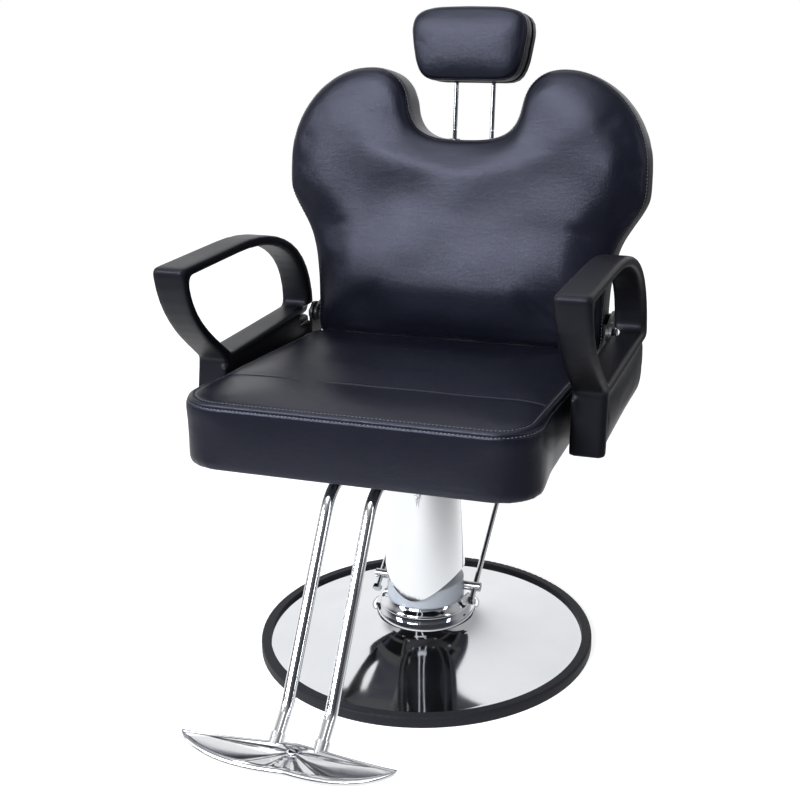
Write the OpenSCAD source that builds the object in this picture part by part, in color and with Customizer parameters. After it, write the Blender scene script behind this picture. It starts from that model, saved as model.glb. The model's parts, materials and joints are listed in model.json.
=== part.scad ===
// Barber chair with a hydraulic pedestal, loop arms, a wing footrest,
// a reclining heart-shaped back and a sliding headrest.
// The chair faces -Y, +Z is up, and the origin is the base's centre on the floor.

/* [Base] */
// Radius of the base over its rubber edge
base_r = 295; // [270:1:320]
// Height of the rubber edge ring
ring_h = 18; // [16:1:24]
// Width of the rubber edge ring seen from above
ring_w = 17; // [13:1:24]
// How far the plate and cover reach into the ring
ring_bite = 9; // [6:1:11]
// Thickness of the steel base plate
plate_t = 9; // [7:0.5:10]
// Wall of the chromed base cover
cover_t = 3; // [2:0.5:4]
// Outer radius of the neck of the cover
neck_r = 88; // [84:1:96]
// Height of the top of the neck above the floor
neck_z = 69; // [62:1:74]
// Straight height of the neck under its top
neck_h = 13; // [8:1:18]

/* [Pump] */
// Radius of the pump's oil reservoir
pump_r = 68; // [62:0.5:69]
// Height of the top of the reservoir above the floor
pump_z = 120; // [118:1:128]
// Radius of the flange that bolts to the base plate
flange_r = 100; // [96:1:110]
// Thickness of that flange
flange_t = 12; // [8:1:16]
// Radius of the circle of flange bolts
bolt_ring_r = 86; // [82:1:88]
// Radius of a flange bolt
bolt_r = 5; // [4:0.5:6]
// Height of a bolt head
bolt_head_h = 7; // [5:0.5:9]
// Outer radius of the pump's barrel
barrel_r = 46; // [38:1:52]
// Height of the top of the barrel above the floor
barrel_z = 306; // [290:1:312]
// Radius of the gland nut on the barrel
gland_r = 34; // [30:1:40]
// Height of the gland nut
gland_h = 16; // [10:1:20]
// Radius of the chromed collar round the reservoir
collar_r = 82; // [78:1:83]
// Height of the collar
collar_h = 21; // [16:1:22]

/* [Column] */
// Radius of the piston rod
rod_r = 20; // [16:0.5:24]
// Radius of the swivel pin on top of the rod
pin_r = 17; // [12:0.5:18]
// Length of the swivel pin
pin_len = 38; // [30:1:40]
// Height of the sleeve's top above the floor
sleeve_z = 346; // [336:1:356]
// Radius of the sleeve at its lower end
sleeve_r = 72; // [71.5:0.5:76]
// Radius of the sleeve at its top
sleeve_top_r = 62; // [54:0.5:68]
// Wall of the sleeve
sleeve_t = 2.2; // [1.5:0.1:3]
// Height of the lowest point of the sleeve's rim
mouth_low = 104; // [98:1:110]
// Height of the arches of the rim over the lever shaft
mouth_high = 146; // [138:1:156]
// Thickness of the disc that carries the sleeve
carrier_t = 6; // [4:0.5:8]
// Thickness of the thrust washer
washer_t = 4; // [3:0.5:6]
// Outer radius of the swivel hub
hub_r = 32; // [28:1:38]

/* [Pump lever] */
// Radius of the lever shaft
shaft_r = 8; // [7:0.5:9]
// Length of the lever shaft
shaft_len = 196; // [190:1:204]
// Distance of the shaft behind the column's axis
lever_y = 12; // [6:1:18]
// Height of the shaft above the floor
lever_z = 105; // [102:0.5:108]
// Angle of the lever above the floor at rest
lever_angle = 35; // [28:1:42]
// Radius of the lever rod
lever_r = 4.75; // [4:0.25:5]
// Distance between the two legs of the lever
lever_span = 176; // [174:1:180]
// Length of the lever from shaft to foot bar
lever_len = 300; // [260:1:320]
// Bend radius of the lever rod
lever_bend = 28; // [20:1:40]
// Length of the threaded stubs under the shaft
stub_len = 32; // [28:1:32]
// Radius of the nuts over their corners
nut_r = 8.5; // [7.5:0.25:8.5]
// Height of the nuts
nut_h = 7; // [5:0.5:8]
// Radius of the rubber pedal
pedal_r = 11; // [9:0.5:14]
// Length of the rubber pedal
pedal_len = 92; // [60:1:110]

/* [Seat frame] */
// Thickness of the mounting plate
deck_t = 6; // [5:0.5:8]
// Width of the mounting plate
deck_w = 222; // [216:1:240]
// Depth of the mounting plate
deck_d = 190; // [175:1:210]
// Side of the square frame tubes
tube_s = 25; // [22:1:28]
// Wall of the square frame tubes
tube_t = 2.5; // [1.5:0.5:3]
// Distance between the centre lines of the rails
rail_gap = 190; // [184:1:194]
// Front end of the rails, ahead of the column
rail_front = 110; // [104:1:125]
// Rear end of the rails, behind the column
rail_rear = 160; // [150:1:162]
// Distance between the mounting bolts, front to back
deck_bolt_gap = 150; // [140:1:160]
// Radius of the mounting bolts
deck_bolt_r = 4; // [3:0.5:5]
// Width of the flat steel straps across the frame
strap_w = 40; // [30:1:44]
// Thickness of the straps
strap_t = 5; // [4:0.5:8]
// Place of the front strap's centre behind the column
strap_front_y = -32; // [-40:1:-26]
// Place of the rear strap's centre behind the column
strap_rear_y = 112; // [104:1:120]
// Thickness of the side plates that carry the arms and the pivots
side_t = 5; // [4:0.5:6]
// Gap between the seat cushion and a side plate
side_gap = 4; // [2:0.5:7]
// Height of a side plate above the straps
side_h = 72; // [66:1:80]

/* [Seat] */
// Thickness of the plywood seat board
board_t = 10; // [8:1:14]
// How far the board stays inside the cushion's outline
board_inset = 8; // [6:1:12]
// Width of the seat cushion
seat_w = 558; // [500:1:600]
// Front of the seat cushion, ahead of the column
seat_front = 350; // [330:1:370]
// Rear of the seat cushion, behind the column
seat_rear = 165; // [158:1:166]
// Height of the cushion at its front seam
seat_front_h = 94; // [80:1:104]
// Height of the cushion at its rear seam
seat_rear_h = 62; // [52:1:64]
// Plan radius of the front corners
seat_front_r = 62; // [40:1:80]
// Plan radius of the rear corners
seat_rear_r = 34; // [20:1:50]
// Crown of the seat over its seams
seat_crown = 13; // [6:1:18]
// Depth of the roll ahead of the cross seam
seat_roll = 150; // [120:1:180]
// Depth of the sewn groove behind the roll
seam_depth = 3; // [1:0.5:5]

/* [Arms] */
// Gap between a side plate and the arm, which the arm's bosses cross
arm_gap = 3; // [2:0.5:8]
// Width of an arm
arm_w = 56; // [48:1:62]
// Length of an arm
arm_len = 493; // [485:1:500]
// Height of an arm over all
arm_h = 282; // [270:1:296]
// Front of an arm, ahead of the column
arm_front = 277; // [272:1:284]
// Height of the skirt under the arm's loop
skirt_h = 87; // [82:1:92]
// Thickness of the arm's top bar
arm_top_t = 17; // [14:1:22]
// Thickness of the arm's rear post
arm_back_t = 27; // [24:1:30]
// Thickness of the arm's lower bar
arm_bar_t = 18; // [16:1:22]
// Thickness of the arm's front leg
arm_leg_t = 24; // [18:1:28]
// Rounding of the arm's edges
arm_round = 6; // [3:0.5:7]
// Place of the foot of the front leg behind the arm's front
arm_foot = 110; // [104:1:118]
// Thickness of the foot of the front leg
arm_foot_t = 24; // [20:1:30]
// Thickness of the web behind the side panel
web_t = 9; // [7:0.5:12]
// Thickness of the padded side panel
panel_t = 42; // [36:1:44]
// Corner radius of the side panel
panel_r = 46; // [30:1:60]
// Radius of the arm bolts
arm_bolt_r = 4; // [3:0.5:5]
// Depth of the relief in the arm round the pivot bolt
relief_d = 12; // [10:0.5:14]

/* [Footrest] */
// Radius of the footrest tubes
foot_r = 9.5; // [8:0.5:11]
// Wall of the footrest tubes
foot_t = 2; // [1:0.5:3]
// Distance between the two tubes
foot_gap = 68; // [60:1:76]
// Place of the upper bend ahead of the column
foot_bend_y = 328; // [320:1:336]
// Slope of the tubes below level
foot_slope = 54.8; // [52:0.2:58]
// Radius of the upper bend
foot_bend_r = 70; // [50:1:80]
// Drop from the frame to the lower bend
foot_drop = 263; // [250:1:280]
// Slope of the tubes' lower ends below level
foot_end_slope = 38; // [34:1:42]
// Radius of the lower bend
foot_end_bend_r = 60; // [40:1:70]
// Length of the lower ends past the bend's corner
foot_end = 54; // [46:1:60]
// Width of the foot plate from tip to tip
wing_w = 322; // [290:1:340]
// Depth of the foot plate at its middle
wing_d = 58; // [50:1:66]
// Thickness of the foot plate
wing_t = 10; // [8:0.5:13]
// How far the tips sweep forward
wing_sweep = 38; // [28:1:46]
// How far the tips rise
wing_rise = 13; // [6:1:18]
// Depth of the leaf-shaped flutes
flute_d = 2.4; // [1:0.2:3.6]
// Radius of the cap on the foot plate
cap_r = 9; // [7:0.5:11]
// Height of the cap above its seat
cap_h = 5; // [4:0.5:7]
// Radius of the rubber pads under the foot plate
pad_r = 5; // [4:0.5:6]
// How far the pads stand out under the plate
pad_h = 3; // [2:0.5:4]
// Height of the tube clamp's lower jaw
jaw_h = 13; // [11:1:16]
// Depth of the tube clamp
clamp_d = 30; // [24:1:36]
// Place of the tube clamp ahead of the column
clamp_y = 185; // [170:1:200]

/* [Back] */
// Place of the recline pivot behind the column
pivot_y = 205; // [202:1:208]
// Height of the recline pivot above the side plates' foot
pivot_h = 107; // [104:1:112]
// Tilt of the back from upright
back_tilt = 9.2; // [6:0.2:12]
// Depth from the seam of the front face to the pivot
face_d = 24.5; // [22:0.5:27]
// How far the lobes stand out past the back's lower corners
back_flare = 66; // [52:1:74]
// Height of the lobes above the pivot
lobe_h = 463; // [450:1:476]
// Drop of the back's lower edge below the pivot
back_drop = 32; // [26:1:33]
// Gap between the back's lower corners and the hinge plates
back_gap = 6.5; // [5.5:0.5:14]
// Height of the widest place above the pivot
back_wide_h = 265; // [250:1:280]
// Height of the notch's floor above the pivot
notch_h = 334; // [324:1:346]
// Half width of the notch
notch_half = 106; // [102:1:114]
// Thickness of the front cushion at its seam
pad_d = 50; // [44:1:54]
// Crown of the front cushion
back_crown = 17; // [10:1:24]
// Swell of the lumbar region over the crown
lumbar = 22; // [12:1:30]
// Thickness of the plywood back board
back_board_t = 12; // [10:1:15]
// Depth of the padded rim behind the board
rim_d = 22; // [21:1:26]
// Width of that rim
rim_w = 22; // [18:1:26]
// Thickness of the rear panel
rear_t = 8; // [6:1:12]
// Side of the cross bar in the back
bar_s = 20; // [18:1:20.5]
// Height of the cross bar's foot above the pivot
bar_z = 12; // [10:1:16]
// Thickness of the hinge plates on the back
hinge_t = 5; // [4:0.5:5]
// Gap for the washer between a hinge plate and a side plate
pivot_washer_t = 1.5; // [1.4:0.1:2.5]
// Radius of the pivot bolts
pivot_r = 6; // [5:0.5:7]
// Radius of the pivot bolt's head over its corners
pivot_head_r = 11; // [9:0.5:12]
// Height of the pivot bolt's head
pivot_head_h = 7; // [5:0.5:8]

/* [Headrest] */
// Radius of the headrest posts
post_r = 4; // [3.5:0.25:5]
// Distance between the posts
post_gap = 71; // [64:1:78]
// Depth of the posts behind the back's front seam
post_d = 74; // [72:0.5:75]
// Length of post inside the back
post_in = 112; // [100:1:130]
// Outer radius of the post guides
guide_r = 7; // [6:0.5:7.5]
// Length of the post guides
guide_len = 50; // [40:1:60]
// Thickness of the guides' flange
guide_flange = 3; // [2:0.5:4]
// Height of the headrest's foot above the pivot
head_z = 440; // [436:1:452]
// Height of the headrest
head_h = 132; // [120:1:140]
// Half width of the headrest at its widest
head_half = 108; // [98:1:110]
// Half width of the headrest along its foot
head_low_half = 58; // [50:1:70]
// Depth of the headrest's front seam behind the back's seam
head_d = 14; // [10:1:18]
// Thickness of the headrest cushion at its seam
head_pad_d = 44; // [38:1:46]
// Crown of the headrest
head_crown = 9; // [5:1:13]
// Thickness of the headrest board
head_board_t = 8; // [6:1:9]
// Depth of the headrest's rear cover
head_cover_d = 21; // [19:1:26]
// Wall of the headrest's rear cover
head_cover_t = 3; // [2:0.5:4]

/* [Recline strut] */
// Distance of the strut from the middle of the chair
strut_x = 125; // [122:1:130]
// Distance from the pivot to the strut's pin
strut_arm = 124; // [120:1:126]
// Half of the angle through which the back reclines
half_swing = 15; // [12:0.5:16]
// Radius of the strut's cylinder
strut_r = 11; // [9:0.5:12]
// Length of the strut's cylinder
strut_len = 222; // [210:1:230]
// Wall of the strut's cylinder
strut_wall = 2; // [1.5:0.5:3]
// Radius of the strut's rod
strut_rod_r = 4.5; // [3.5:0.5:4.5]
// Thickness of the strut's eyes
eye_t = 10; // [8:0.5:12]
// Radius of the strut's eyes
eye_r = 11; // [10.5:0.5:12]
// Radius of the strut's pins
strut_pin_r = 4; // [3:0.25:4.25]
// Thickness of the tab on the back that drives the strut
tab_t = 6; // [4:0.5:8]
// Place of the strut's front pin ahead of the column
anchor_y = 92; // [88:1:96]

/* [Recline handle] */
// Place of the handle ahead of the column
handle_y = 128; // [124:1:134]
// How far the handle stands out past the seat
handle_out = 51; // [42:1:60]
// Radius of the handle rod
handle_r = 5; // [4:0.5:6]
// Radius of the handle's grip
grip_r = 10; // [8:0.5:11]
// Length of the handle's grip
grip_len = 58; // [50:1:60]
// Place of the handle's pivot from the middle of the chair
handle_x = 158; // [152:1:164]

/* [Fits] */
// Clearance of a running pin or shaft
run_fit = 0.05; // [0.02:0.01:0.1]
// Clearance of parts that only lie together
seat_fit = 0.3; // [0.2:0.05:0.5]
// Clearance of the strut's eye round the pin on the back
eye_fit = 2.7; // [2.6:0.1:3.5]

/* [Hidden] */
$fn = 64;
// Overrun of a cut past the face that it opens, and of a stretch of tube into a bend
cut = 1;
// How much a tube swells in its bends
bend_swell = 0.05;
// Shares of the way across a pad at which its rows lie
row_shares = [0, 0.03, 0.08, 0.16, 0.27, 0.4, 0.53, 0.66, 0.77, 0.86, 0.93, 0.975, 1];

cover_foot_z = plate_t + cover_t;
bolt_foot_z = plate_t / 4;
rim_r = base_r - ring_w;
grip_ring_r = rim_r + ring_bite;
rod_foot_z = pump_z - 2;
carrier_z = sleeve_z - carrier_t;
shoulder_z = sleeve_z + washer_t;
hub_z = shoulder_z + seat_fit;
deck_z = hub_z + pin_len + washer_t;
frame_z = deck_z + deck_t;
strap_z = frame_z + tube_s;
board_z = strap_z + strap_t;
seat_z = board_z + board_t + seat_fit;
arm_z = board_z + board_t + strap_t / 2;
rail_x = rail_gap / 2;
foot_z = strap_z - foot_r;
pivot_z = strap_z + pivot_h;
side_x = seat_w / 2 + side_gap;
side_out = side_x + side_t;
arm_x = side_out + arm_gap;
hinge_x = side_x - pivot_washer_t - hinge_t;
back_low_half = hinge_x - back_gap;
back_half = back_low_half + back_flare;
strut_z = pivot_z - strut_arm * (1 + cos(half_swing)) / 2;
strut_pin_y = pivot_y + strut_arm * sin(half_swing);
tab_x = strut_x - eye_t / 2 - 1 - tab_t;
handle_z = frame_z + tube_s / 4;
handle_len = seat_w / 2 + handle_out - handle_x;

// A cubic curve from a to d, in n steps
function curve(a, b, c, d, n) = [for (i = [0:n]) let (t = i / n, u = 1 - t)
    u * u * u * a + 3 * u * u * t * b + 3 * u * t * t * c + t * t * t * d];

// A chain of cubic curves, each given as [a, b, c, d, steps], without doubled points
function chain(parts) = [for (k = [0:len(parts) - 1])
    let (p = parts[k], q = curve(p[0], p[1], p[2], p[3], p[4]))
    for (i = [0:len(q) - (k < len(parts) - 1 ? 2 : 1)]) q[i]];

// A straight stretch written as a curve of a chain
function line(a, b, n) = [a, a + (b - a) / 3, a + (b - a) * 2 / 3, b, n];

// The same curves with their points scaled by a size and moved
function fitted(shares, size, at) = [for (s = shares)
    [for (i = [0:4]) i == 4 ? s[4] : [at.x + s[i].x * size.x, at.y + s[i].y * size.y]]];

function reversed(p) = [for (i = [len(p) - 1:-1:0]) p[i]];

// The right half of an outline carried over to the left, from left to right
function mirrored(p) = concat([for (i = [len(p) - 1:-1:1]) [-p[i].x, p[i].y]], p);

// Unit normal on the left of a path at point i
function left_of(p, i, closed) = let (n = len(p),
    a = closed ? p[(i + n - 1) % n] : p[max(i - 1, 0)],
    b = closed ? p[(i + 1) % n] : p[min(i + 1, n - 1)], d = b - a) [-d.y, d.x] / norm(d);

// A path moved to its left
function shifted(p, by, closed) = [for (i = [0:len(p) - 1]) p[i] + by * left_of(p, i, closed)];

// Distance from a point to a stretch, and to a closed outline
function to_line(p, a, b) = let (ab = b - a, t = max(0, min(1, ((p - a) * ab) / (ab * ab))))
    norm(p - a - t * ab);
function to_outline(p, o) = min([for (i = [0:len(o) - 1]) to_line(p, o[i], o[(i + 1) % len(o)])]);

// Rise of a stuffed surface with the share of its edge zone that is crossed
function swell(s) = s >= 1 ? 1 : sqrt(1 - (1 - s) * (1 - s));

// A stuffed pad between two paths that run from left to right. crown and lift are
// functions of the place: the height of the stuffing and the height of the seam.
// sides lists [inset, share of the depth] for each ring down the side.
module pad(near, far, edge, depth, sides, crown, lift, rows = row_shares) {
    n = len(near);
    m = len(rows);
    grid = [for (j = [0:m - 1]) for (i = [0:n - 1]) near[i] + (far[i] - near[i]) * rows[j]];
    ring = concat([for (i = [0:n - 1]) i], [for (j = [1:m - 2]) j * n + n - 1],
        [for (i = [n - 1:-1:0]) (m - 1) * n + i], [for (j = [m - 2:-1:1]) j * n]);
    rim = [for (i = ring) grid[i]];
    k = len(ring);
    top = [for (p = grid) [p.x, p.y, lift(p) + crown(p) * swell(to_outline(p, rim) / edge)]];
    walls = [for (s = sides) for (i = [0:k - 1]) let (q = rim[i] + s[0] * left_of(rim, i, true))
        [q.x, q.y, lift(rim[i]) * (1 - s[1]) - depth * s[1]]];
    start = [for (s = [0:len(sides)]) s == 0 ? ring : [for (i = [0:k - 1]) n * m + (s - 1) * k + i]];
    polyhedron(concat(top, walls), concat(
        [for (j = [0:m - 2]) for (i = [0:n - 2]) [j * n + i, (j + 1) * n + i, (j + 1) * n + i + 1]],
        [for (j = [0:m - 2]) for (i = [0:n - 2]) [j * n + i, (j + 1) * n + i + 1, j * n + i + 1]],
        [for (s = [0:len(sides) - 1]) for (i = [0:k - 1]) let (o = (i + 1) % k)
            [start[s][i], start[s][o], start[s + 1][o]]],
        [for (s = [0:len(sides) - 1]) for (i = [0:k - 1]) let (o = (i + 1) % k)
            [start[s][i], start[s + 1][o], start[s + 1][i]]],
        back_faces(start[len(sides)][0], n, m)));
}

// Triangles over the flat back of a pad: a strip for each column, and a fan at each end
function back_faces(first, n, m) = let (far = first + 2 * n + m - 3, left = far + m - 1) concat(
    [for (i = [1:n - 3]) each [[first + i, first + i + 1, far - i - 1], [first + i, far - i - 1, far - i]]],
    [for (j = [n - 1:n + m - 3]) [first + n - 2, first + j, first + j + 1]],
    [[first + n - 2, far - n + 1, far - n + 2], [first + 1, far - 1, far]],
    [for (j = [far:left - 1]) [first + 1, j, j == left - 1 ? first : j + 1]]);

// A bar between two paths in the YZ plane, w wide along X from the origin, with its
// edges rounded by r. A closed bar makes a loop.
module band(outer, inner, w, r, closed) {
    n = len(outer);
    steps = 3;
    k = 4 * (steps + 1);
    points = [for (i = [0:n - 1]) let (mid = (outer[i] + inner[i]) / 2, h = norm(outer[i] - inner[i]) / 2,
            e = (outer[i] - inner[i]) / (2 * h), c = min(r, h * 0.9))
        for (q = [0:3]) for (s = [0:steps]) let (a = 90 * q + 90 * s / steps,
            x = (q == 0 || q == 3 ? 1 : -1) * (w / 2 - r) + r * cos(a),
            y = (q < 2 ? 1 : -1) * (h - c) + c * sin(a))
        [w / 2 + x, mid.x + e.x * y, mid.y + e.y * y]];
    last = closed ? n - 1 : n - 2;
    sides = [for (i = [0:last]) for (j = [0:k - 1])
        let (a = i * k + j, b = i * k + (j + 1) % k, c = (i + 1) % n * k + (j + 1) % k, d = (i + 1) % n * k + j)
        each [[a, b, c], [a, c, d]]];
    caps = closed ? [] : [[for (j = [k - 1:-1:0]) j], [for (j = [0:k - 1]) (n - 1) * k + j]];
    polyhedron(points, concat(sides, caps));
}

// A round bar or bore along X between two places
module across(r, from, to) {
    translate([from, 0, 0])
        rotate([0, 90, 0])
            cylinder(r = r, h = to - from);
}

// A shape drawn in Y and Z, thick along X from the given place
module slab(from, t) {
    translate([from, 0, 0])
        rotate([90, 0, 90])
            linear_extrude(t)
                children();
}

module both_sides() {
    children();
    mirror([1, 0, 0])
        children();
}

module square_tube(len) {
    difference() {
        translate([-tube_s / 2, 0, 0])
            cube([tube_s, len, tube_s]);
        translate([tube_t - tube_s / 2, -cut, tube_t])
            cube([tube_s - 2 * tube_t, len + 2 * cut, tube_s - 2 * tube_t]);
    }
}

// Base

module bolt_circle() {
    for (i = [0:3])
        rotate([0, 0, 45 + 90 * i])
            translate([bolt_ring_r, 0, 0])
                children();
}

module base_plate() {
    color("dimgray")
        difference() {
            cylinder(r = grip_ring_r, h = plate_t);
            bolt_circle()
                translate([0, 0, bolt_foot_z])
                    cylinder(r = bolt_r + run_fit, h = plate_t);
        }
}

module base_cover() {
    neck_foot_z = neck_z - neck_h;
    rise = neck_foot_z - cover_foot_z;
    run = rim_r - neck_r;
    flare = curve([rim_r, cover_foot_z], [rim_r - run * 0.41, cover_foot_z + rise * 0.22],
        [neck_r + run * 0.12, cover_foot_z + rise * 0.4], [neck_r, neck_foot_z], 20);
    inside = shifted(flare, cover_t, false);
    lip_r = pump_r + seat_fit;
    color("lightgray")
        rotate_extrude($fn = 128)
            polygon(concat([[grip_ring_r, cover_foot_z - cover_t], [grip_ring_r, cover_foot_z]], flare,
                [[neck_r, neck_z], [lip_r, neck_z], [lip_r, neck_z - cover_t],
                    [neck_r - cover_t, neck_z - cover_t], [neck_r - cover_t, neck_foot_z]],
                reversed([for (p = inside) if (p.y > plate_t && p.x < rim_r && p.x > neck_r) p]),
                [[rim_r - ring_bite, cover_foot_z - cover_t]]));
}

module base_edge_ring() {
    r = ring_h / 4;
    color([0.13, 0.13, 0.14])
        rotate_extrude($fn = 128)
            difference() {
                union() {
                    translate([rim_r, 0])
                        square([ring_w - r, ring_h]);
                    translate([rim_r, 0])
                        square([ring_w, ring_h - r]);
                    translate([base_r - r, ring_h - r])
                        circle(r = r);
                }
                translate([rim_r - cut, -cut])
                    square([ring_bite + cut, cover_foot_z + cut]);
            }
}

// Pump

module pump_body() {
    slope = pump_r - barrel_r;
    color([0.52, 0.56, 0.6])
        difference() {
            rotate_extrude()
                polygon([[0, plate_t], [flange_r, plate_t], [flange_r, plate_t + flange_t],
                    [pump_r, plate_t + flange_t], [pump_r, pump_z], [barrel_r, pump_z + slope / 2],
                    [barrel_r, barrel_z], [0, barrel_z]]);
            translate([0, 0, rod_foot_z - washer_t])
                cylinder(r = rod_r + run_fit, h = barrel_z);
            translate([0, lever_y, lever_z])
                across(shaft_r + run_fit, -pump_r, pump_r);
            bolt_circle()
                translate([0, 0, plate_t - cut])
                    cylinder(r = bolt_r + run_fit, h = flange_t + 2 * cut);
        }
}

module pump_gland() {
    chamfer = gland_h / 5;
    color("silver")
        difference() {
            translate([0, 0, barrel_z])
                cylinder(r = gland_r, h = gland_h, $fn = 6);
            translate([0, 0, barrel_z - cut])
                cylinder(r = rod_r + run_fit, h = gland_h + 2 * cut);
            translate([0, 0, barrel_z + gland_h - chamfer])
                difference() {
                    cylinder(r = gland_r + cut, h = chamfer + cut);
                    cylinder(r1 = gland_r, r2 = gland_r - 2 * chamfer, h = chamfer + cut);
                }
        }
}

module pump_collar() {
    inner_r = pump_r + seat_fit;
    step = collar_h / 3;
    top_r = inner_r + (collar_r - inner_r) / 4;
    color("gainsboro")
        translate([0, 0, neck_z])
            rotate_extrude($fn = 96)
                polygon(concat([[inner_r, 0], [collar_r, 0]],
                    curve([collar_r, step], [collar_r, step * 1.6], [top_r + step / 3, step * 2.2],
                        [top_r, collar_h], 8), [[inner_r, collar_h]]));
}

module pump_bolts() {
    color("gray")
        bolt_circle()
            union() {
                translate([0, 0, bolt_foot_z])
                    cylinder(r = bolt_r, h = plate_t + flange_t - bolt_foot_z);
                translate([0, 0, plate_t + flange_t])
                    cylinder(r = bolt_r * 1.8, h = bolt_head_h, $fn = 6);
            }
}

// Pump lever, drawn along +Y from the shaft and tilted up

module lever_frame() {
    translate([0, lever_y, lever_z])
        rotate([lever_angle, 0, 0])
            children();
}

module lever_shaft() {
    color("silver")
        lever_frame()
            difference() {
                across(shaft_r, -shaft_len / 2, shaft_len / 2);
                both_sides()
                    translate([lever_span / 2, shaft_r + cut, 0])
                        rotate([90, 0, 0])
                            cylinder(r = lever_r + run_fit, h = 2 * (shaft_r + cut));
            }
}

module lever_fork() {
    leg = lever_len - lever_bend;
    bar_half = lever_span / 2 - lever_bend;
    color("silver")
        lever_frame()
            union() {
                both_sides()
                    translate([lever_span / 2, -stub_len, 0])
                        rotate([-90, 0, 0])
                            cylinder(r = lever_r, h = leg + stub_len);
                both_sides()
                    translate([bar_half, leg, 0])
                        rotate_extrude(angle = 90)
                            translate([lever_bend, 0])
                                circle(r = lever_r);
                translate([0, lever_len, 0])
                    across(lever_r, -bar_half, bar_half);
            }
}

module lever_nuts() {
    color("gainsboro")
        lever_frame()
            both_sides()
                translate([lever_span / 2, -stub_len, 0])
                    rotate([-90, 0, 0])
                        difference() {
                            cylinder(r = nut_r, h = nut_h, $fn = 6);
                            translate([0, 0, -cut])
                                cylinder(r = lever_r + run_fit, h = nut_h + 2 * cut);
                        }
}

module lever_pedal() {
    end = pedal_r / 3;
    color([0.1, 0.1, 0.11])
        lever_frame()
            translate([-pedal_len / 2, lever_len, 0])
                rotate([0, 90, 0])
                    rotate_extrude()
                        polygon([[lever_r + run_fit, 0], [pedal_r - end, 0], [pedal_r, end],
                            [pedal_r, pedal_len - end], [pedal_r - end, pedal_len],
                            [lever_r + run_fit, pedal_len]]);
}

// Lifting column

module piston_rod() {
    color("silver")
        union() {
            translate([0, 0, rod_foot_z])
                cylinder(r = rod_r, h = shoulder_z - rod_foot_z);
            translate([0, 0, shoulder_z])
                cylinder(r = pin_r, h = pin_len);
        }
}

// Radius of the sleeve's outside at a height
function sleeve_at(z) = sleeve_r + (sleeve_top_r - sleeve_r) * (z - mouth_low) / (sleeve_z - mouth_low);

module pump_sleeve() {
    arch = mouth_high - mouth_low;
    mouth_r = (arch * arch + sleeve_r * sleeve_r) / (2 * arch);
    foot_z = mouth_low - sleeve_t;
    color("whitesmoke")
        difference() {
            translate([0, 0, foot_z])
                cylinder(r1 = sleeve_at(foot_z), r2 = sleeve_top_r, h = sleeve_z - foot_z, $fn = 128);
            translate([0, 0, foot_z - cut])
                cylinder(r1 = sleeve_at(foot_z - cut) - sleeve_t, r2 = sleeve_at(sleeve_z + cut) - sleeve_t,
                    h = sleeve_z - foot_z + 2 * cut, $fn = 128);
            translate([0, 0, mouth_high - mouth_r])
                across(mouth_r, -sleeve_r - cut, sleeve_r + cut, $fn = 128);
        }
}

module sleeve_carrier() {
    color("gray")
        difference() {
            translate([0, 0, carrier_z])
                cylinder(r1 = sleeve_at(carrier_z) - sleeve_t, r2 = sleeve_at(sleeve_z) - sleeve_t,
                    h = carrier_t, $fn = 128);
            translate([0, 0, carrier_z - cut])
                cylinder(r = rod_r, h = carrier_t + 2 * cut);
        }
}

module thrust_washer() {
    color("goldenrod")
        translate([0, 0, sleeve_z])
            difference() {
                cylinder(r = hub_r, h = washer_t);
                translate([0, 0, -cut])
                    cylinder(r = rod_r + run_fit, h = washer_t + 2 * cut);
            }
}

// Seat frame

module deck_bolts() {
    for (x = [-rail_x, rail_x])
        for (y = [-deck_bolt_gap / 2, deck_bolt_gap / 2])
            translate([x, y, 0])
                children();
}

module swivel_hub() {
    color("dimgray")
        difference() {
            union() {
                translate([0, 0, hub_z])
                    cylinder(r = hub_r, h = deck_z - hub_z);
                translate([0, 0, deck_z - washer_t])
                    cylinder(r = hub_r * 1.5, h = washer_t);
            }
            translate([0, 0, hub_z - cut])
                cylinder(r = pin_r + run_fit, h = pin_len + cut);
        }
}

module mounting_plate() {
    color("dimgray")
        difference() {
            translate([-deck_w / 2, -deck_d / 2, deck_z])
                cube([deck_w, deck_d, deck_t]);
            deck_bolts()
                translate([0, 0, deck_z - cut])
                    cylinder(r = deck_bolt_r + run_fit, h = deck_t + 2 * cut);
        }
}

module mounting_bolts() {
    color("silver")
        deck_bolts()
            union() {
                translate([0, 0, deck_z])
                    cylinder(r = deck_bolt_r, h = board_z + board_t / 2 - deck_z);
                translate([0, 0, deck_z - deck_bolt_r * 1.4])
                    cylinder(r = deck_bolt_r * 1.8, h = deck_bolt_r * 1.4, $fn = 6);
            }
}

module frame_rails() {
    color("dimgray")
        difference() {
            both_sides()
                translate([rail_x, -rail_front, frame_z])
                    square_tube(rail_front + rail_rear);
            deck_bolts()
                translate([0, 0, frame_z - cut])
                    cylinder(r = deck_bolt_r + run_fit, h = tube_s + 2 * cut);
        }
}

module frame_cross_tubes() {
    len = rail_gap - tube_s;
    color("dimgray")
        for (y = [-rail_front + tube_s / 2, rail_rear - tube_s / 2])
            translate([len / 2, y, frame_z])
                rotate([0, 0, 90])
                    square_tube(len);
}

module frame_straps() {
    color("dimgray")
        for (y = [strap_front_y, strap_rear_y])
            translate([-side_x, y - strap_w / 2, strap_z])
                cube([2 * side_x, strap_w, strap_t]);
}

// Places of the two arm bolts of a side, in Y and Z
arm_bolt_places = [[strap_front_y, strap_z + side_h * 0.6], [strap_rear_y - strap_w / 4, strap_z + side_h * 0.6]];

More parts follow.
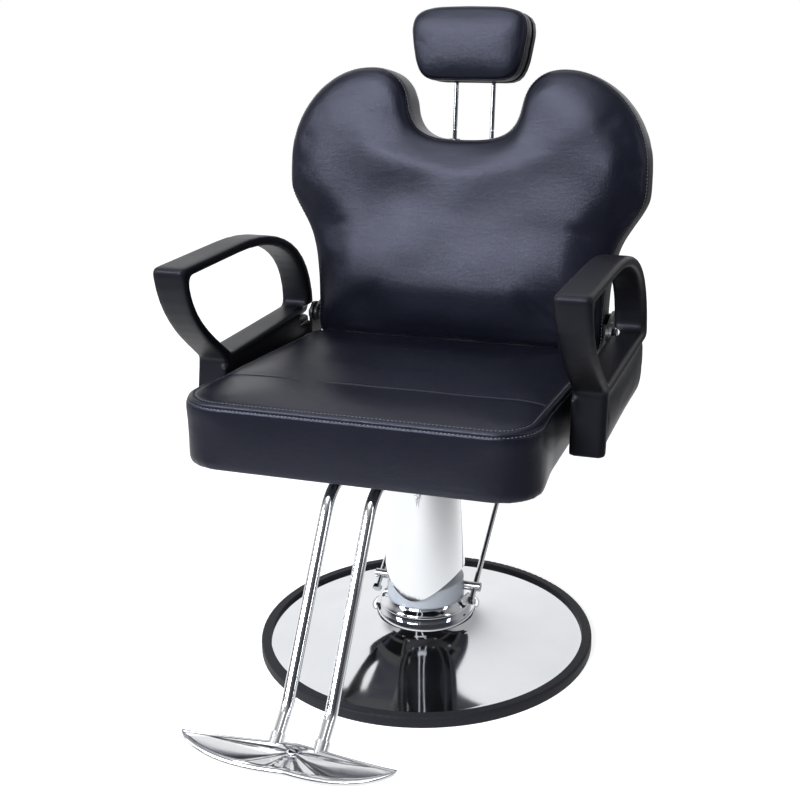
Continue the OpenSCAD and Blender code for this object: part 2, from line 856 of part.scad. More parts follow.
module side_plate() {
    ear = pivot_head_r * 2;
    front = strap_front_y - strap_w / 2;
    color("dimgray")
        difference() {
            slab(side_x, side_t)
                union() {
                    translate([front, strap_z])
                        square([pivot_y + ear - front, side_h]);
                    translate([pivot_y - ear, strap_z + side_h - cut])
                        square([2 * ear, pivot_h - side_h + cut]);
                    translate([pivot_y, pivot_z])
                        circle(r = ear);
                }
            translate([0, pivot_y, pivot_z])
                across(pivot_r + run_fit, side_x - cut, side_out + cut);
            for (p = arm_bolt_places)
                translate([0, p.x, p.y])
                    across(arm_bolt_r + run_fit, side_x - cut, side_out + cut);
        }
}

module side_plate_left() {
    side_plate();
}

module side_plate_right() {
    mirror([1, 0, 0])
        side_plate();
}

// Seat

// Front and rear edges of the seat's outline, drawn in by a margin
function seat_front_edge(in) = let (half = seat_w / 2 - in, r = seat_front_r - in, y = in - seat_front)
    mirrored(concat([for (i = [0:5]) [(half - r) * i / 5, y]],
        [for (i = [1:7]) let (a = 90 * i / 7) [half - r + r * sin(a), y + r - r * cos(a)]]));
function seat_rear_edge(in) = let (half = seat_w / 2 - in, r = seat_rear_r - in, y = seat_rear - in)
    mirrored(concat([for (i = [0:5]) [(half - r) * i / 5, y]],
        [for (i = [1:7]) let (a = 90 * i / 7) [half - r + r * sin(a), y - r + r * cos(a)]]));

module seat_board() {
    color([0.55, 0.42, 0.28])
        difference() {
            translate([0, 0, board_z])
                linear_extrude(board_t)
                    polygon(concat(seat_front_edge(board_inset), reversed(seat_rear_edge(board_inset))));
            deck_bolts()
                translate([0, 0, board_z - cut])
                    cylinder(r = deck_bolt_r + run_fit, h = board_t / 2 + cut);
        }
}

module seat_cushion() {
    depth = seat_front + seat_rear;
    fall = seat_front_h - seat_rear_h;
    seam_y = seat_roll - seat_front;
    color([0.1, 0.11, 0.16])
        translate([0, 0, seat_z])
            pad(seat_front_edge(0), seat_rear_edge(0), seat_front_r * 1.2, 0,
                [[-1.5, 0.12], [0, 0.4], [0, 0.75], [board_inset * 0.4, 0.93], [board_inset, 1]],
                function(p) seat_crown - seam_depth * exp(-pow((p.y - seam_y) / (seam_depth * 4), 2)),
                function(p) seat_front_h - fall * pow(max(0, (p.y + seat_front) / depth), 1.3),
                rows = [0, 0.03, 0.08, 0.14, 0.21, 0.26, 0.29, 0.32, 0.37, 0.48, 0.6, 0.72, 0.84, 0.93, 0.975, 1]);
}

// Arms, drawn in Y and Z from the foot of the arm's front

outer_shares = [line([0.02, 1], [0.41, 1], 3), [[0.41, 1], [0.75, 1], [1, 0.73], [1, 0.05], 12],
    [[1, 0.05], [1, 0.02], [0.99, 0], [0.97, 0], 2], line([0.97, 0], [0.3, 0], 4),
    [[0.3, 0], [0.285, 0], [0.277, 0.015], [0.264, 0.056], 2],
    [[0.264, 0.056], [0.183, 0.25], [0.024, 0.477], [0, 0.95], 10],
    [[0, 0.95], [0, 0.98], [0.008, 1], [0.02, 1], 3]];
inner_shares = [line([0.027, 1], [0.4, 1], 3), [[0.4, 1], [0.74, 1], [1, 0.69], [1, 0.08], 12],
    [[1, 0.08], [1, 0.03], [0.99, 0], [0.97, 0], 2], line([0.97, 0], [0.32, 0], 4),
    [[0.32, 0], [0.29, 0], [0.276, 0.02], [0.26, 0.07], 2],
    [[0.26, 0.07], [0.16, 0.28], [0.018, 0.56], [0, 0.906], 10],
    [[0, 0.906], [0, 0.97], [0.01, 1], [0.027, 1], 3]];

function open_end(p) = [for (i = [0:len(p) - 2]) p[i]];

// Height of the front leg's foot stretch, up into the loop
leg_foot_h = skirt_h + arm_bar_t / 2;

function foot_edge(by) = let (top = arm_len * 0.262, p = [by, 0])
    curve([top, leg_foot_h] + p, [top - arm_foot_t / 4, leg_foot_h * 0.6] + p,
        [arm_foot + arm_foot_t / 4, leg_foot_h * 0.3] + p, [arm_foot, 0] + p, 5);

module panel_outline(in, foot) {
    front = arm_foot + arm_foot_t + in;
    rear = arm_len - in;
    lean = arm_len * 0.262 - arm_foot;
    polygon(concat([[front, foot]],
        [for (i = [0:6]) let (a = 90 * i / 6) [rear - panel_r + panel_r * sin(a), foot + panel_r - panel_r * cos(a)]],
        [[rear, skirt_h - in], [front + lean, skirt_h - in]]));
}

module arm_frame() {
    translate([arm_x, -arm_front, arm_z])
        children();
}

module arm() {
    size = [arm_len, arm_h - skirt_h];
    hole = [arm_len - arm_leg_t - arm_back_t, arm_h - skirt_h - arm_bar_t - arm_top_t];
    color([0.07, 0.07, 0.08])
        difference() {
            union() {
                arm_frame()
                    band(open_end(chain(fitted(outer_shares, size, [0, skirt_h]))),
                        open_end(chain(fitted(inner_shares, hole, [arm_leg_t, skirt_h + arm_bar_t]))),
                        arm_w, arm_round, true);
                arm_frame()
                    band(foot_edge(arm_foot_t), foot_edge(0), arm_w, arm_round, false);
                arm_frame()
                    slab(0, web_t)
                        union() {
                            panel_outline(0, 0);
                            translate([arm_foot + arm_foot_t / 2, 0])
                                square([arm_foot_t, skirt_h]);
                            translate([arm_len * 0.3, skirt_h - cut])
                                square([arm_len * 0.66, arm_bar_t / 2]);
                        }
                for (p = arm_bolt_places)
                    translate([0, p.x, p.y])
                        across(arm_bolt_r * 3, side_out, arm_x + cut);
            }
            for (p = arm_bolt_places)
                translate([0, p.x, p.y])
                    across(arm_bolt_r + run_fit, side_out - arm_gap, arm_x + web_t + cut);
            translate([0, pivot_y, pivot_z])
                across(pivot_head_r + arm_round, arm_x - cut, arm_x + relief_d);
            translate([arm_x - cut, pivot_y - arm_back_t * 2, pivot_z - pivot_head_r])
                cube([relief_d + cut, arm_back_t * 2, pivot_head_r * 2 + arm_round]);
        }
}

module arm_left() {
    arm();
}

module arm_right() {
    mirror([1, 0, 0])
        arm();
}

module side_panel() {
    edge = panel_t / 10;
    color([0.1, 0.11, 0.16])
        arm_frame()
            union() {
                slab(web_t + seat_fit, panel_t - edge)
                    panel_outline(seat_fit, seat_fit);
                slab(web_t + seat_fit, panel_t)
                    panel_outline(seat_fit + edge, seat_fit + edge);
            }
}

module side_panel_left() {
    side_panel();
}

module side_panel_right() {
    mirror([1, 0, 0])
        side_panel();
}

module arm_bolts() {
    color("silver")
        both_sides()
            for (p = arm_bolt_places)
                translate([0, p.x, p.y])
                    across(arm_bolt_r, side_x - seat_fit, arm_x + web_t);
}

// Footrest

// Corners of the tube's path ahead of the column, and its end
foot_low_y = foot_bend_y + foot_drop / tan(foot_slope);
foot_low_z = foot_z - foot_drop;
foot_tip_y = foot_low_y + foot_end * cos(foot_end_slope);
foot_tip_z = foot_low_z - foot_end * sin(foot_end_slope);

// A stretch of tube or of its core, from a place along a downward slope towards -Y
module tube_run(y, z, slope, from, to, r) {
    translate([0, -y, z])
        rotate([90 + slope, 0, 0])
            translate([0, 0, from])
                cylinder(r = r, h = to - from);
}

// A bend of the tube that begins with one slope and ends with another
module tube_bend(y, z, slope, turn, bend_r, r) {
    translate([0, -y, z])
        rotate([slope, 0, 0])
            translate([0, 0, -sign(turn) * bend_r])
                rotate([0, -90, 0])
                    rotate([0, 0, turn > 0 ? -turn : 180])
                        rotate_extrude(angle = abs(turn), $fn = 96)
                            translate([bend_r, 0])
                                circle(r = r);
}

// The tube's whole path, filled with a round of radius r, longer at its ends by over
module foot_path(r, over) {
    turn = foot_slope;
    back = foot_slope - foot_end_slope;
    t1 = foot_bend_r * tan(turn / 2);
    t2 = foot_end_bend_r * tan(back / 2);
    slant = foot_drop / sin(foot_slope);
    union() {
        tube_run(rail_front, foot_z, 0, -over, foot_bend_y - rail_front - t1 + cut, r);
        tube_bend(foot_bend_y - t1, foot_z, 0, turn, foot_bend_r, r + bend_swell);
        tube_run(foot_bend_y, foot_z, foot_slope, t1 - cut, slant - t2 + cut, r);
        tube_bend(foot_low_y - t2 * cos(foot_slope), foot_low_z + t2 * sin(foot_slope), foot_slope,
            -back, foot_end_bend_r, r + bend_swell);
        tube_run(foot_low_y, foot_low_z, foot_end_slope, t2 - cut, foot_end + over, r);
    }
}

module footrest_tube() {
    color("lightgray")
        translate([foot_gap / 2, 0, 0])
            difference() {
                foot_path(foot_r, 0);
                foot_path(foot_r - foot_t, cut);
            }
}

module footrest_tube_left() {
    footrest_tube();
}

module footrest_tube_right() {
    mirror([1, 0, 0])
        footrest_tube();
}

module footrest_clamp() {
    w = foot_gap + 4 * foot_r;
    color("gray")
        difference() {
            union() {
                translate([-w / 2, -clamp_y, foot_z + seat_fit])
                    cube([w, clamp_d, board_z - foot_z - seat_fit]);
                translate([-w / 2, -clamp_y, foot_z - jaw_h])
                    cube([w, clamp_d, jaw_h]);
            }
            for (x = [-foot_gap / 2, foot_gap / 2])
                translate([x, -clamp_y - cut, foot_z])
                    rotate([-90, 0, 0])
                        cylinder(r = foot_r + run_fit, h = clamp_d + 2 * cut);
        }
}

// Foot plate: its rear edge, its depth and its top, for a share u from the middle to a tip
wing_rear_y = foot_tip_y - wing_t * 0.6;
wing_top_z = foot_tip_z + foot_r * 0.9;
function wing_rear(u) = -wing_rear_y - wing_sweep * pow(abs(u), 1.2);
function wing_depth(u) = wing_d * pow(max(0, 1 - pow(abs(u), 2.2)), 0.8) + wing_t / 4;
function wing_top(u, v) = wing_top_z + wing_rise * pow(abs(u), 1.6) - wing_t * 0.8 * v * (1 - u * u);

// Depth of the flutes, which spread like leaves from the cap
function flute(u, v) = let (x = abs(u) * wing_w / 2, y = (v - 0.35) * wing_d, far = norm([x, y]),
        a = atan2(y, max(x, wing_t / 10)))
    flute_d * swell(min(1, min(v, 1 - v) * 4)) * min(1, far / (cap_r * 3)) * (1 - pow(abs(u), 6))
        * pow(abs(sin(a * 6 + 25 * abs(u))), 0.8);

cap_y = wing_rear(0) - wing_d * 0.35;
cap_z = wing_top(0, 0.35) - wing_t * 0.3;
pad_places = [for (u = [-0.62, -0.3, 0.3, 0.62]) [u * wing_w / 2, wing_rear(u) - wing_depth(u) * 0.55,
    wing_top(u, 0.55) - wing_t - pad_h]];

module footrest_plate() {
    n = 49;
    rows = [0, 0.06, 0.14, 0.26, 0.4, 0.54, 0.68, 0.82, 0.94, 1];
    m = len(rows);
    us = [for (i = [0:n - 1]) let (a = -1 + 2 * i / (n - 1)) sign(a) * (1 - pow(1 - abs(a), 1.25)) * 0.996];
    top = [for (v = rows) for (u = us) let (soft = swell(min(1, min(v, 1 - v) * 6)))
        [u * wing_w / 2, wing_rear(u) - wing_depth(u) * v,
            wing_top(u, v) - flute(u, v) - (1 - soft) * wing_t / 4]];
    low = [for (v = rows) for (u = us) let (thick = wing_t * (1 - 0.55 * pow(abs(u), 4)))
        [u * wing_w / 2, wing_rear(u) - wing_depth(u) * (0.04 + 0.92 * v), wing_top(u, v) - thick]];
    k = n * m;
    ring = concat([for (i = [0:n - 1]) i], [for (j = [1:m - 2]) j * n + n - 1],
        [for (i = [n - 1:-1:0]) (m - 1) * n + i], [for (j = [m - 2:-1:1]) j * n]);
    c = len(ring);
    color("lightgray")
        difference() {
            union() {
                polyhedron(concat(top, low), concat(
                    [for (j = [0:m - 2]) for (i = [0:n - 2]) let (a = j * n + i) each
                        [[a, a + n + 1, a + n], [a, a + 1, a + n + 1],
                        [k + a, k + a + n, k + a + n + 1], [k + a, k + a + n + 1, k + a + 1]]],
                    [for (i = [0:c - 1]) let (a = ring[i], b = ring[(i + 1) % c]) each
                        [[a, k + b, b], [a, k + a, k + b]]]));
                for (x = [-foot_gap / 2, foot_gap / 2])
                    translate([x, 0, 0])
                        tube_run(foot_low_y, foot_low_z, foot_end_slope, foot_end - wing_t * 1.6,
                            foot_end + foot_t, foot_r + foot_t);
            }
            for (x = [-foot_gap / 2, foot_gap / 2])
                translate([x, 0, 0])
                    tube_run(foot_low_y, foot_low_z, foot_end_slope, 0, foot_end, foot_r + run_fit);
            translate([0, cap_y, cap_z])
                cylinder(r = cap_r + run_fit, h = wing_t);
            for (p = pad_places)
                translate([p.x, p.y, p.z])
                    cylinder(r = pad_r + run_fit, h = pad_h + wing_t / 2);
        }
}

module footrest_cap() {
    color("whitesmoke")
        translate([0, cap_y, cap_z])
            rotate_extrude()
                polygon(concat([[0, 0], [cap_r, 0]], curve([cap_r, cap_h * 0.6], [cap_r, cap_h * 0.9],
                    [cap_r * 0.6, cap_h], [0, cap_h], 8)));
}

module footrest_pads() {
    color([0.1, 0.1, 0.1])
        for (p = pad_places)
            translate([p.x, p.y, p.z])
                cylinder(r = pad_r, h = pad_h + wing_t / 2);
}

// Recline pivots and strut

module pivot_bolts() {
    color("gainsboro")
        both_sides()
            translate([0, pivot_y, pivot_z])
                union() {
                    across(pivot_r, hinge_x, side_out);
                    across(pivot_head_r, side_out, side_out + pivot_head_h, $fn = 6);
                }
}

module pivot_washers() {
    from = hinge_x + hinge_t + run_fit;
    color("whitesmoke")
        both_sides()
            translate([0, pivot_y, pivot_z])
                difference() {
                    across(pivot_r * 2, from, side_x);
                    across(pivot_r + run_fit, from - cut, side_x + cut);
                }
}

module strut_anchor() {
    inner = rail_x + tube_s / 2;
    plate = strap_t * 0.8;
    color("gray")
        translate([0, -anchor_y, 0])
            union() {
                translate([-inner - plate, -eye_r, frame_z])
                    cube([plate, 2 * eye_r, tube_s]);
                translate([0, 0, strut_z])
                    across(strut_pin_r, -strut_x - eye_t / 2 - strut_wall, -inner - cut / 2);
            }
}

module strut_eye(bore) {
    difference() {
        across(eye_r, -eye_t / 2, eye_t / 2);
        across(bore, -eye_t / 2 - cut, eye_t / 2 + cut);
    }
}

module strut_cylinder() {
    start = eye_r - strut_wall;
    color([0.12, 0.12, 0.13])
        translate([-strut_x, -anchor_y, strut_z])
            union() {
                strut_eye(strut_pin_r + run_fit);
                translate([0, start, 0])
                    rotate([-90, 0, 0])
                        difference() {
                            cylinder(r = strut_r, h = strut_len);
                            translate([0, 0, strut_wall * 4])
                                cylinder(r = strut_r - strut_wall, h = strut_len - strut_wall * 8);
                            translate([0, 0, strut_wall * 4])
                                cylinder(r = strut_rod_r + run_fit, h = strut_len);
                        }
            }
}

module strut_rod() {
    mouth = eye_r - strut_wall + strut_len - anchor_y;
    end = mouth - strut_wall * 5 - strut_r;
    piston = strut_r - strut_wall - run_fit;
    color("silver")
        translate([-strut_x, 0, strut_z])
            union() {
                translate([0, end, 0])
                    rotate([-90, 0, 0])
                        cylinder(r = strut_rod_r, h = strut_pin_y - end - eye_r + strut_wall);
                translate([0, end, 0])
                    rotate([-90, 0, 0])
                        cylinder(r = piston, h = strut_r);
                translate([0, strut_pin_y, 0])
                    strut_eye(strut_pin_r + eye_fit);
            }
}

// Back, drawn from the pivot with Y to the rear and Z along the back

module back_frame() {
    translate([0, pivot_y, pivot_z])
        rotate([-back_tilt, 0, 0])
            children();
}

// Turns a shape drawn in X and Z of the back to lie at a depth behind the front seam
module back_layer(depth, t) {
    back_frame()
        translate([0, depth + t - face_d, 0])
            rotate([90, 0, 0])
                linear_extrude(t)
                    children();
}

// Upper half outline, from the notch's middle to the widest place
function back_top() = let (top = lobe_h - notch_h, side = lobe_h - back_wide_h, out = back_half - notch_half)
    chain([[[0, notch_h], [notch_half * 0.57, notch_h], [notch_half * 0.95, notch_h + top * 0.04],
            [notch_half, notch_h + top * 0.47], 7],
        [[notch_half, notch_h + top * 0.47], [notch_half * 1.04, notch_h + top * 0.76],
            [notch_half + out * 0.12, lobe_h], [notch_half + out * 0.32, lobe_h], 6],
        [[notch_half + out * 0.32, lobe_h], [notch_half + out * 0.7, lobe_h], [back_half, back_wide_h + side * 0.58],
            [back_half, back_wide_h + side * 0.14], 9]]);

// Lower half outline, from the middle of the lower edge to the widest place
function back_low() = let (r = back_drop * 0.95, half = back_low_half, out = back_half - back_low_half,
        up = back_wide_h)
    chain([line([0, -back_drop], [half - r, -back_drop], 7),
        [[half - r, -back_drop], [half - r * 0.4, -back_drop], [half, r * 0.4 - back_drop], [half, r - back_drop], 4],
        [[half, r - back_drop], [half, up * 0.25], [half + out * 0.03, up * 0.44],
            [half + out * 0.3, up * 0.6], 5],
        [[half + out * 0.3, up * 0.6], [half + out * 0.65, up * 0.76], [back_half, up * 0.84],
            [back_half, up * 0.94], 6]]);

module back_outline(in) {
    o = concat(mirrored(back_low()), reversed(mirrored(back_top())));
    polygon(shifted(o, in, true));
}

module back_cushion() {
    color([0.1, 0.11, 0.16])
        back_frame()
            translate([0, -face_d, 0])
                rotate([90, 0, 0])
                    pad(mirrored(back_low()), mirrored(back_top()), rim_w * 2.6, pad_d,
                        [[-2, 0.1], [-2.5, 0.3], [-1.5, 0.7], [1, 1]],
                        function(p) back_crown + lumbar * exp(-pow((p.y - back_wide_h * 0.22) / (back_wide_h * 0.42), 2))
                            * (1 - 0.75 * pow(p.x / back_half, 2)), function(p) 0);
}

// Where the board, the rim and the rear panel begin behind the front seam
back_board_d = pad_d + seat_fit;
rim_start_d = back_board_d + back_board_t;
rear_d = rim_start_d + rim_d;
bar_mid_d = rim_start_d + bar_s / 2 - face_d;

module back_board() {
    color([0.55, 0.42, 0.28])
        back_layer(back_board_d, back_board_t)
            back_outline(rim_w / 7);
}

module back_rim() {
    slot = bar_s + 2 * seat_fit;
    guide_x = post_gap / 2;
    color([0.1, 0.11, 0.16])
        difference() {
            back_layer(rim_start_d, rim_d)
                difference() {
                    back_outline(0);
                    back_outline(rim_w);
                }
            back_frame()
                translate([-back_half, bar_mid_d - slot / 2, bar_z - seat_fit])
                    cube([2 * back_half, slot, slot]);
            back_frame()
                translate([-tab_x - tab_t - seat_fit, bar_mid_d - slot / 2, -back_drop - cut])
                    cube([tab_t + 2 * seat_fit, slot, back_drop + bar_z]);
            both_sides()
                back_frame()
                    translate([guide_x, post_d - face_d, notch_h]) {
                        translate([0, 0, -rim_w * 1.4])
                            cylinder(r = guide_r + run_fit, h = rim_w * 2);
                        cylinder(r = guide_r + guide_flange + run_fit, h = rim_w);
                    }
        }
}

module back_panel() {
    soft = rear_t / 3;
    color([0.1, 0.11, 0.16])
        union() {
            back_layer(rear_d + seat_fit, rear_t - soft)
                back_outline(0);
            back_layer(rear_d + seat_fit, rear_t)
                back_outline(soft);
        }
}

module back_cross_bar() {
    wall = tube_t;
    color("dimgray")
        union() {
            difference() {
                back_frame()
                    translate([-hinge_x, bar_mid_d - bar_s / 2, bar_z])
                        cube([2 * hinge_x, bar_s, bar_s]);
                back_frame()
                    translate([-hinge_x - cut, bar_mid_d - bar_s / 2 + wall, bar_z + wall])
                        cube([2 * hinge_x + 2 * cut, bar_s - 2 * wall, bar_s - 2 * wall]);
            }
            strut_tab();
        }
}

// Tab under the cross bar that pushes the strut, drawn in the back's Y and Z
module strut_tab() {
    rest = half_swing + back_tilt;
    at = [strut_arm * sin(rest), -strut_arm * cos(rest)];
    difference() {
        back_frame()
            slab(-tab_x - tab_t, tab_t)
                hull() {
                    translate([bar_mid_d - bar_s * 0.4, bar_z - cut])
                        square([bar_s * 0.8, cut]);
                    translate(at)
                        circle(r = strut_pin_r * 2.2, $fn = 32);
                }
        translate([0, strut_pin_y, pivot_z - strut_arm * cos(half_swing)])
            across(strut_pin_r + run_fit, -tab_x - tab_t - cut, cut - tab_x);
    }
}

module strut_pin() {
    out = -strut_x - eye_t / 2 - 1;
    color("silver")
        translate([0, strut_pin_y, pivot_z - strut_arm * cos(half_swing)])
            union() {
                across(strut_pin_r, out, -tab_x);
                across(strut_pin_r * 2.2, out - tab_t / 3, out);
                across(strut_pin_r * 1.6, -tab_x, tab_t / 3 - tab_x);
            }
}

module back_hinge() {
    eye = pivot_head_r * 1.5;
    color("gray")
        difference() {
            back_frame()
                slab(hinge_x, hinge_t)
                    hull() {
                        circle(r = eye);
                        translate([bar_mid_d - bar_s / 2, bar_z - bar_s / 4])
                            square([bar_s, bar_s * 1.5]);
                    }
            translate([0, pivot_y, pivot_z])
                across(pivot_r + run_fit, hinge_x - cut, hinge_x + hinge_t + cut);
        }
}

module back_hinge_left() {
    back_hinge();
}

module back_hinge_right() {
    mirror([1, 0, 0])
        back_hinge();
}

// Headrest

module post_guides() {
    color([0.15, 0.15, 0.16])
        both_sides()
            back_frame()
                translate([post_gap / 2, post_d - face_d, notch_h - guide_len])
                    difference() {
                        union() {
                            cylinder(r = guide_r, h = guide_len);
                            translate([0, 0, guide_len])
                                cylinder(r = guide_r + guide_flange, h = guide_flange);
                        }
                        translate([0, 0, -cut])
                            cylinder(r = post_r + run_fit, h = guide_len + guide_flange + 2 * cut);
                    }
}

module headrest_posts() {
    foot = notch_h - post_in;
    top = head_z + head_h * 0.55;
    groove = post_r * 0.2;
    color("gainsboro")
        both_sides()
            back_frame()
                translate([post_gap / 2, post_d - face_d, foot])
                    difference() {
                        cylinder(r = post_r, h = top - foot);
                        for (i = [0:3])
                            translate([0, 0, post_in + guide_len * (0.4 - 0.5 * i)])
                                rotate_extrude()
                                    translate([post_r + groove, 0])
                                        circle(r = groove * 2, $fn = 24);
                    }
}

module headrest_bracket() {
    start = head_d + head_pad_d + head_board_t + seat_fit;
    w = post_gap + 6 * post_r;
    h = head_h * 0.3;
    z = head_z + head_h * 0.25;
    block = post_d + post_r * 1.5 - start;
    color("gray")
        back_frame()
            difference() {
                union() {
                    translate([-w / 2, start - face_d, z])
                        cube([w, head_cover_t, h]);
                    for (x = [-post_gap / 2, post_gap / 2])
                        translate([x - 2 * post_r, start - face_d, z])
                            cube([4 * post_r, block, h]);
                }
                for (x = [-post_gap / 2, post_gap / 2])
                    translate([x, post_d - face_d, z - cut])
                        cylinder(r = post_r + run_fit, h = h + 2 * cut);
            }
}

// Lower and upper edges of the headrest's outline
function head_low() = let (half = head_half, low = head_low_half)
    mirrored(chain([line([0, head_z], [low, head_z], 4),
        [[low, head_z], [low + (half - low) * 0.5, head_z], [half * 0.86, head_z + head_h * 0.07],
            [half * 0.93, head_z + head_h * 0.3], 5],
        line([half * 0.93, head_z + head_h * 0.3], [half * 0.96, head_z + head_h * 0.44], 1)]));
function head_top() = let (half = head_half, top = head_z + head_h)
    mirrored(chain([line([0, top], [half * 0.5, top - head_h * 0.01], 4),
        [[half * 0.5, top - head_h * 0.01], [half * 0.86, top - head_h * 0.03], [half, top - head_h * 0.1],
            [half, top - head_h * 0.3], 5],
        line([half, top - head_h * 0.3], [half * 0.995, top - head_h * 0.38], 1)]));

module head_outline(in) {
    polygon(shifted(concat(head_low(), reversed(head_top())), in, true));
}

module headrest_cushion() {
    color([0.1, 0.11, 0.16])
        back_frame()
            translate([0, head_d - face_d, 0])
                rotate([90, 0, 0])
                    pad(head_low(), head_top(), head_h * 0.3, head_pad_d,
                        [[-1.5, 0.15], [-2, 0.5], [1, 1]], function(p) head_crown, function(p) 0,
                        rows = [0, 0.05, 0.13, 0.25, 0.4, 0.55, 0.7, 0.83, 0.93, 1]);
}

module headrest_board() {
    color([0.55, 0.42, 0.28])
        back_layer(head_d + head_pad_d + seat_fit, head_board_t)
            head_outline(head_cover_t);
}

module headrest_cover() {
    start = head_d + head_pad_d + head_board_t + seat_fit;
    color([0.1, 0.11, 0.16])
        difference() {
            union() {
                back_layer(start, head_cover_d - head_cover_t)
                    head_outline(0);
                back_layer(start, head_cover_d)
                    head_outline(head_cover_t);
            }
            back_layer(start - cut, head_cover_d - head_cover_t + cut)
                head_outline(head_cover_t * 1.5);
            both_sides()
                back_frame()
                    translate([post_gap / 2, post_d - face_d, head_z - head_cover_t])
                        cylinder(r = post_r + seat_fit, h = head_cover_t * 3);
        }
}

// Recline handle, drawn along -X from its pivot

module release_bracket() {
    ear = handle_r * 2;
    wall = strap_t * 0.8;
    color("gray")
        translate([-handle_x, -handle_y, 0])
            difference() {
                union() {
                    for (side = [-1, 1])
                        translate([-ear, side * (handle_r + wall / 2 + seat_fit) - wall / 2, handle_z - ear])
                            cube([2 * ear, wall, board_z - handle_z + ear]);
                    translate([-ear, -handle_r - wall, board_z - wall])
                        cube([2 * ear, 2 * (handle_r + wall), wall]);
                }
                translate([0, handle_r * 3, handle_z])
                    rotate([90, 0, 0])
                        cylinder(r = handle_r * 0.6 + run_fit, h = handle_r * 6);
            }
}

module release_lever() {
    pin = handle_r * 0.6;
    pin_half = handle_r + strap_t;
    color([0.12, 0.12, 0.13])
        translate([-handle_x, -handle_y, handle_z])
            union() {
                across(handle_r, -handle_len, handle_r * 2);
                translate([0, pin_half, 0])
                    rotate([90, 0, 0])
                        cylinder(r = pin, h = 2 * pin_half);
            }
}

module release_grip() {
    end = grip_r / 3;
    color([0.08, 0.08, 0.09])
        translate([-handle_x - handle_len - handle_r, -handle_y, handle_z])
            rotate([0, 90, 0])
                difference() {
                    rotate_extrude()
                        polygon([[0, 0], [grip_r - end, 0], [grip_r, end], [grip_r, grip_len - end],
                            [grip_r - end, grip_len], [0, grip_len]]);
                    translate([0, 0, handle_r])
                        cylinder(r = handle_r + run_fit, h = grip_len);
                }
}

base_plate();
base_cover();
base_edge_ring();
pump_body();
pump_gland();
pump_collar();
pump_bolts();
lever_shaft();
lever_fork();
lever_nuts();
lever_pedal();
piston_rod();
pump_sleeve();
sleeve_carrier();
thrust_washer();
swivel_hub();
mounting_plate();
mounting_bolts();
frame_rails();
frame_cross_tubes();
frame_straps();
side_plate_left();
side_plate_right();
seat_board();
seat_cushion();
arm_left();
arm_right();
side_panel_left();
side_panel_right();
arm_bolts();
footrest_tube_left();
footrest_tube_right();
footrest_clamp();
footrest_plate();
footrest_cap();
footrest_pads();
pivot_bolts();
pivot_washers();
strut_anchor();
strut_cylinder();
strut_rod();
strut_pin();
back_cross_bar();
back_hinge_left();
back_hinge_right();
back_board();
back_cushion();
back_rim();
back_panel();
post_guides();
headrest_posts();
headrest_bracket();
headrest_board();
headrest_cushion();
headrest_cover();
release_bracket();
release_lever();
release_grip();
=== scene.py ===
import json
import math

import bmesh
import bpy
from mathutils import Matrix, Vector, noise
from mathutils.bvhtree import BVHTree
from mathutils.kdtree import KDTree


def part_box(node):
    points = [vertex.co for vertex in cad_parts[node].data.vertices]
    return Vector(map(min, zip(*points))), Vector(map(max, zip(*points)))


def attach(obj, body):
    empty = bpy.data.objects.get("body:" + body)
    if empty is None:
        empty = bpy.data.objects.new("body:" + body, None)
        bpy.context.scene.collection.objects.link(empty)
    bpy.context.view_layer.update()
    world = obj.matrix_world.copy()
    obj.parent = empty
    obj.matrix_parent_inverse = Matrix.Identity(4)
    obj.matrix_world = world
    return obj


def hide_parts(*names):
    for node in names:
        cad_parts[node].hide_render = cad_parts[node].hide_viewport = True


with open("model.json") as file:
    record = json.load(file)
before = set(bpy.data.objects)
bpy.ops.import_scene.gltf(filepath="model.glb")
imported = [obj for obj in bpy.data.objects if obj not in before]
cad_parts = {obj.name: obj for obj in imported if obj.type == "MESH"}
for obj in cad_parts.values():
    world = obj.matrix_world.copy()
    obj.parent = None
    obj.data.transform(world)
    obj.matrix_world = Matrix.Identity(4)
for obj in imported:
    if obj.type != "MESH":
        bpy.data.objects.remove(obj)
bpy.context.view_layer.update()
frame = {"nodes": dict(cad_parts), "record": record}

NODES = frame["nodes"]

# Camera, found from the photograph's perspective, in metres and millimetres of lens
CAMERA_PLACE = Vector((0.70274, -2.01800, 1.18137))
CAMERA_AZIMUTH = math.radians(19.2)
CAMERA_PITCH = math.radians(15.22)
CAMERA_ROLL = math.radians(-0.96)
CAMERA_LENS = 59.18
CAMERA_SHIFT = (-0.02645, -0.10666)

# The back's frame: its pivot, its tilt, and its front seam plane ahead of the pivot
PIVOT = Vector((0.0, 0.205, 0.5303))
BACK_TILT = math.radians(9.2)
BACK_TURN = Matrix.Translation(PIVOT) @ Matrix.Rotation(-BACK_TILT, 4, "X")
BACK_FACE = -0.0245
BACK_DEPTH = 0.0926
BACK_PAD_DEPTH = 0.05

# The seat's outline, its seam heights above its foot, and the board under it
SEAT_HALF = 0.279
SEAT_FRONT = -0.35
SEAT_REAR = 0.165
SEAT_CORNER = 0.062
SEAT_FOOT = 0.4386
SEAT_FRONT_H = 0.094
SEAT_FALL = 0.032
SEAT_FALL_CURVE = 1.3
SEAT_BOARD_FOOT = 0.4283
SEAT_WRAP = 0.0014
SEAT_HEM = 0.034
CROSS_SEAM_Y = -0.2
CORNER_ANGLES = range(0, 91, 6)
SIDE_STEPS = 24

# The two lowest rings of the seat's form: the height over the foot that each lies under,
# how far it goes out, and how many wraps over the board's foot it ends
FOOT_RINGS = ((0.0005, 0.003, -1), (0.0085, 0.0022, 2))

# Where the seat's cover is held: over the board's foot, about its edge seam, in from its
# outline, and before and under its cross seam
HELD_FOOT = 0.012
HELD_SEAM = 0.006
HELD_INSET = 0.012
HELD_CROSS = 0.005
HELD_UNDER = 0.004

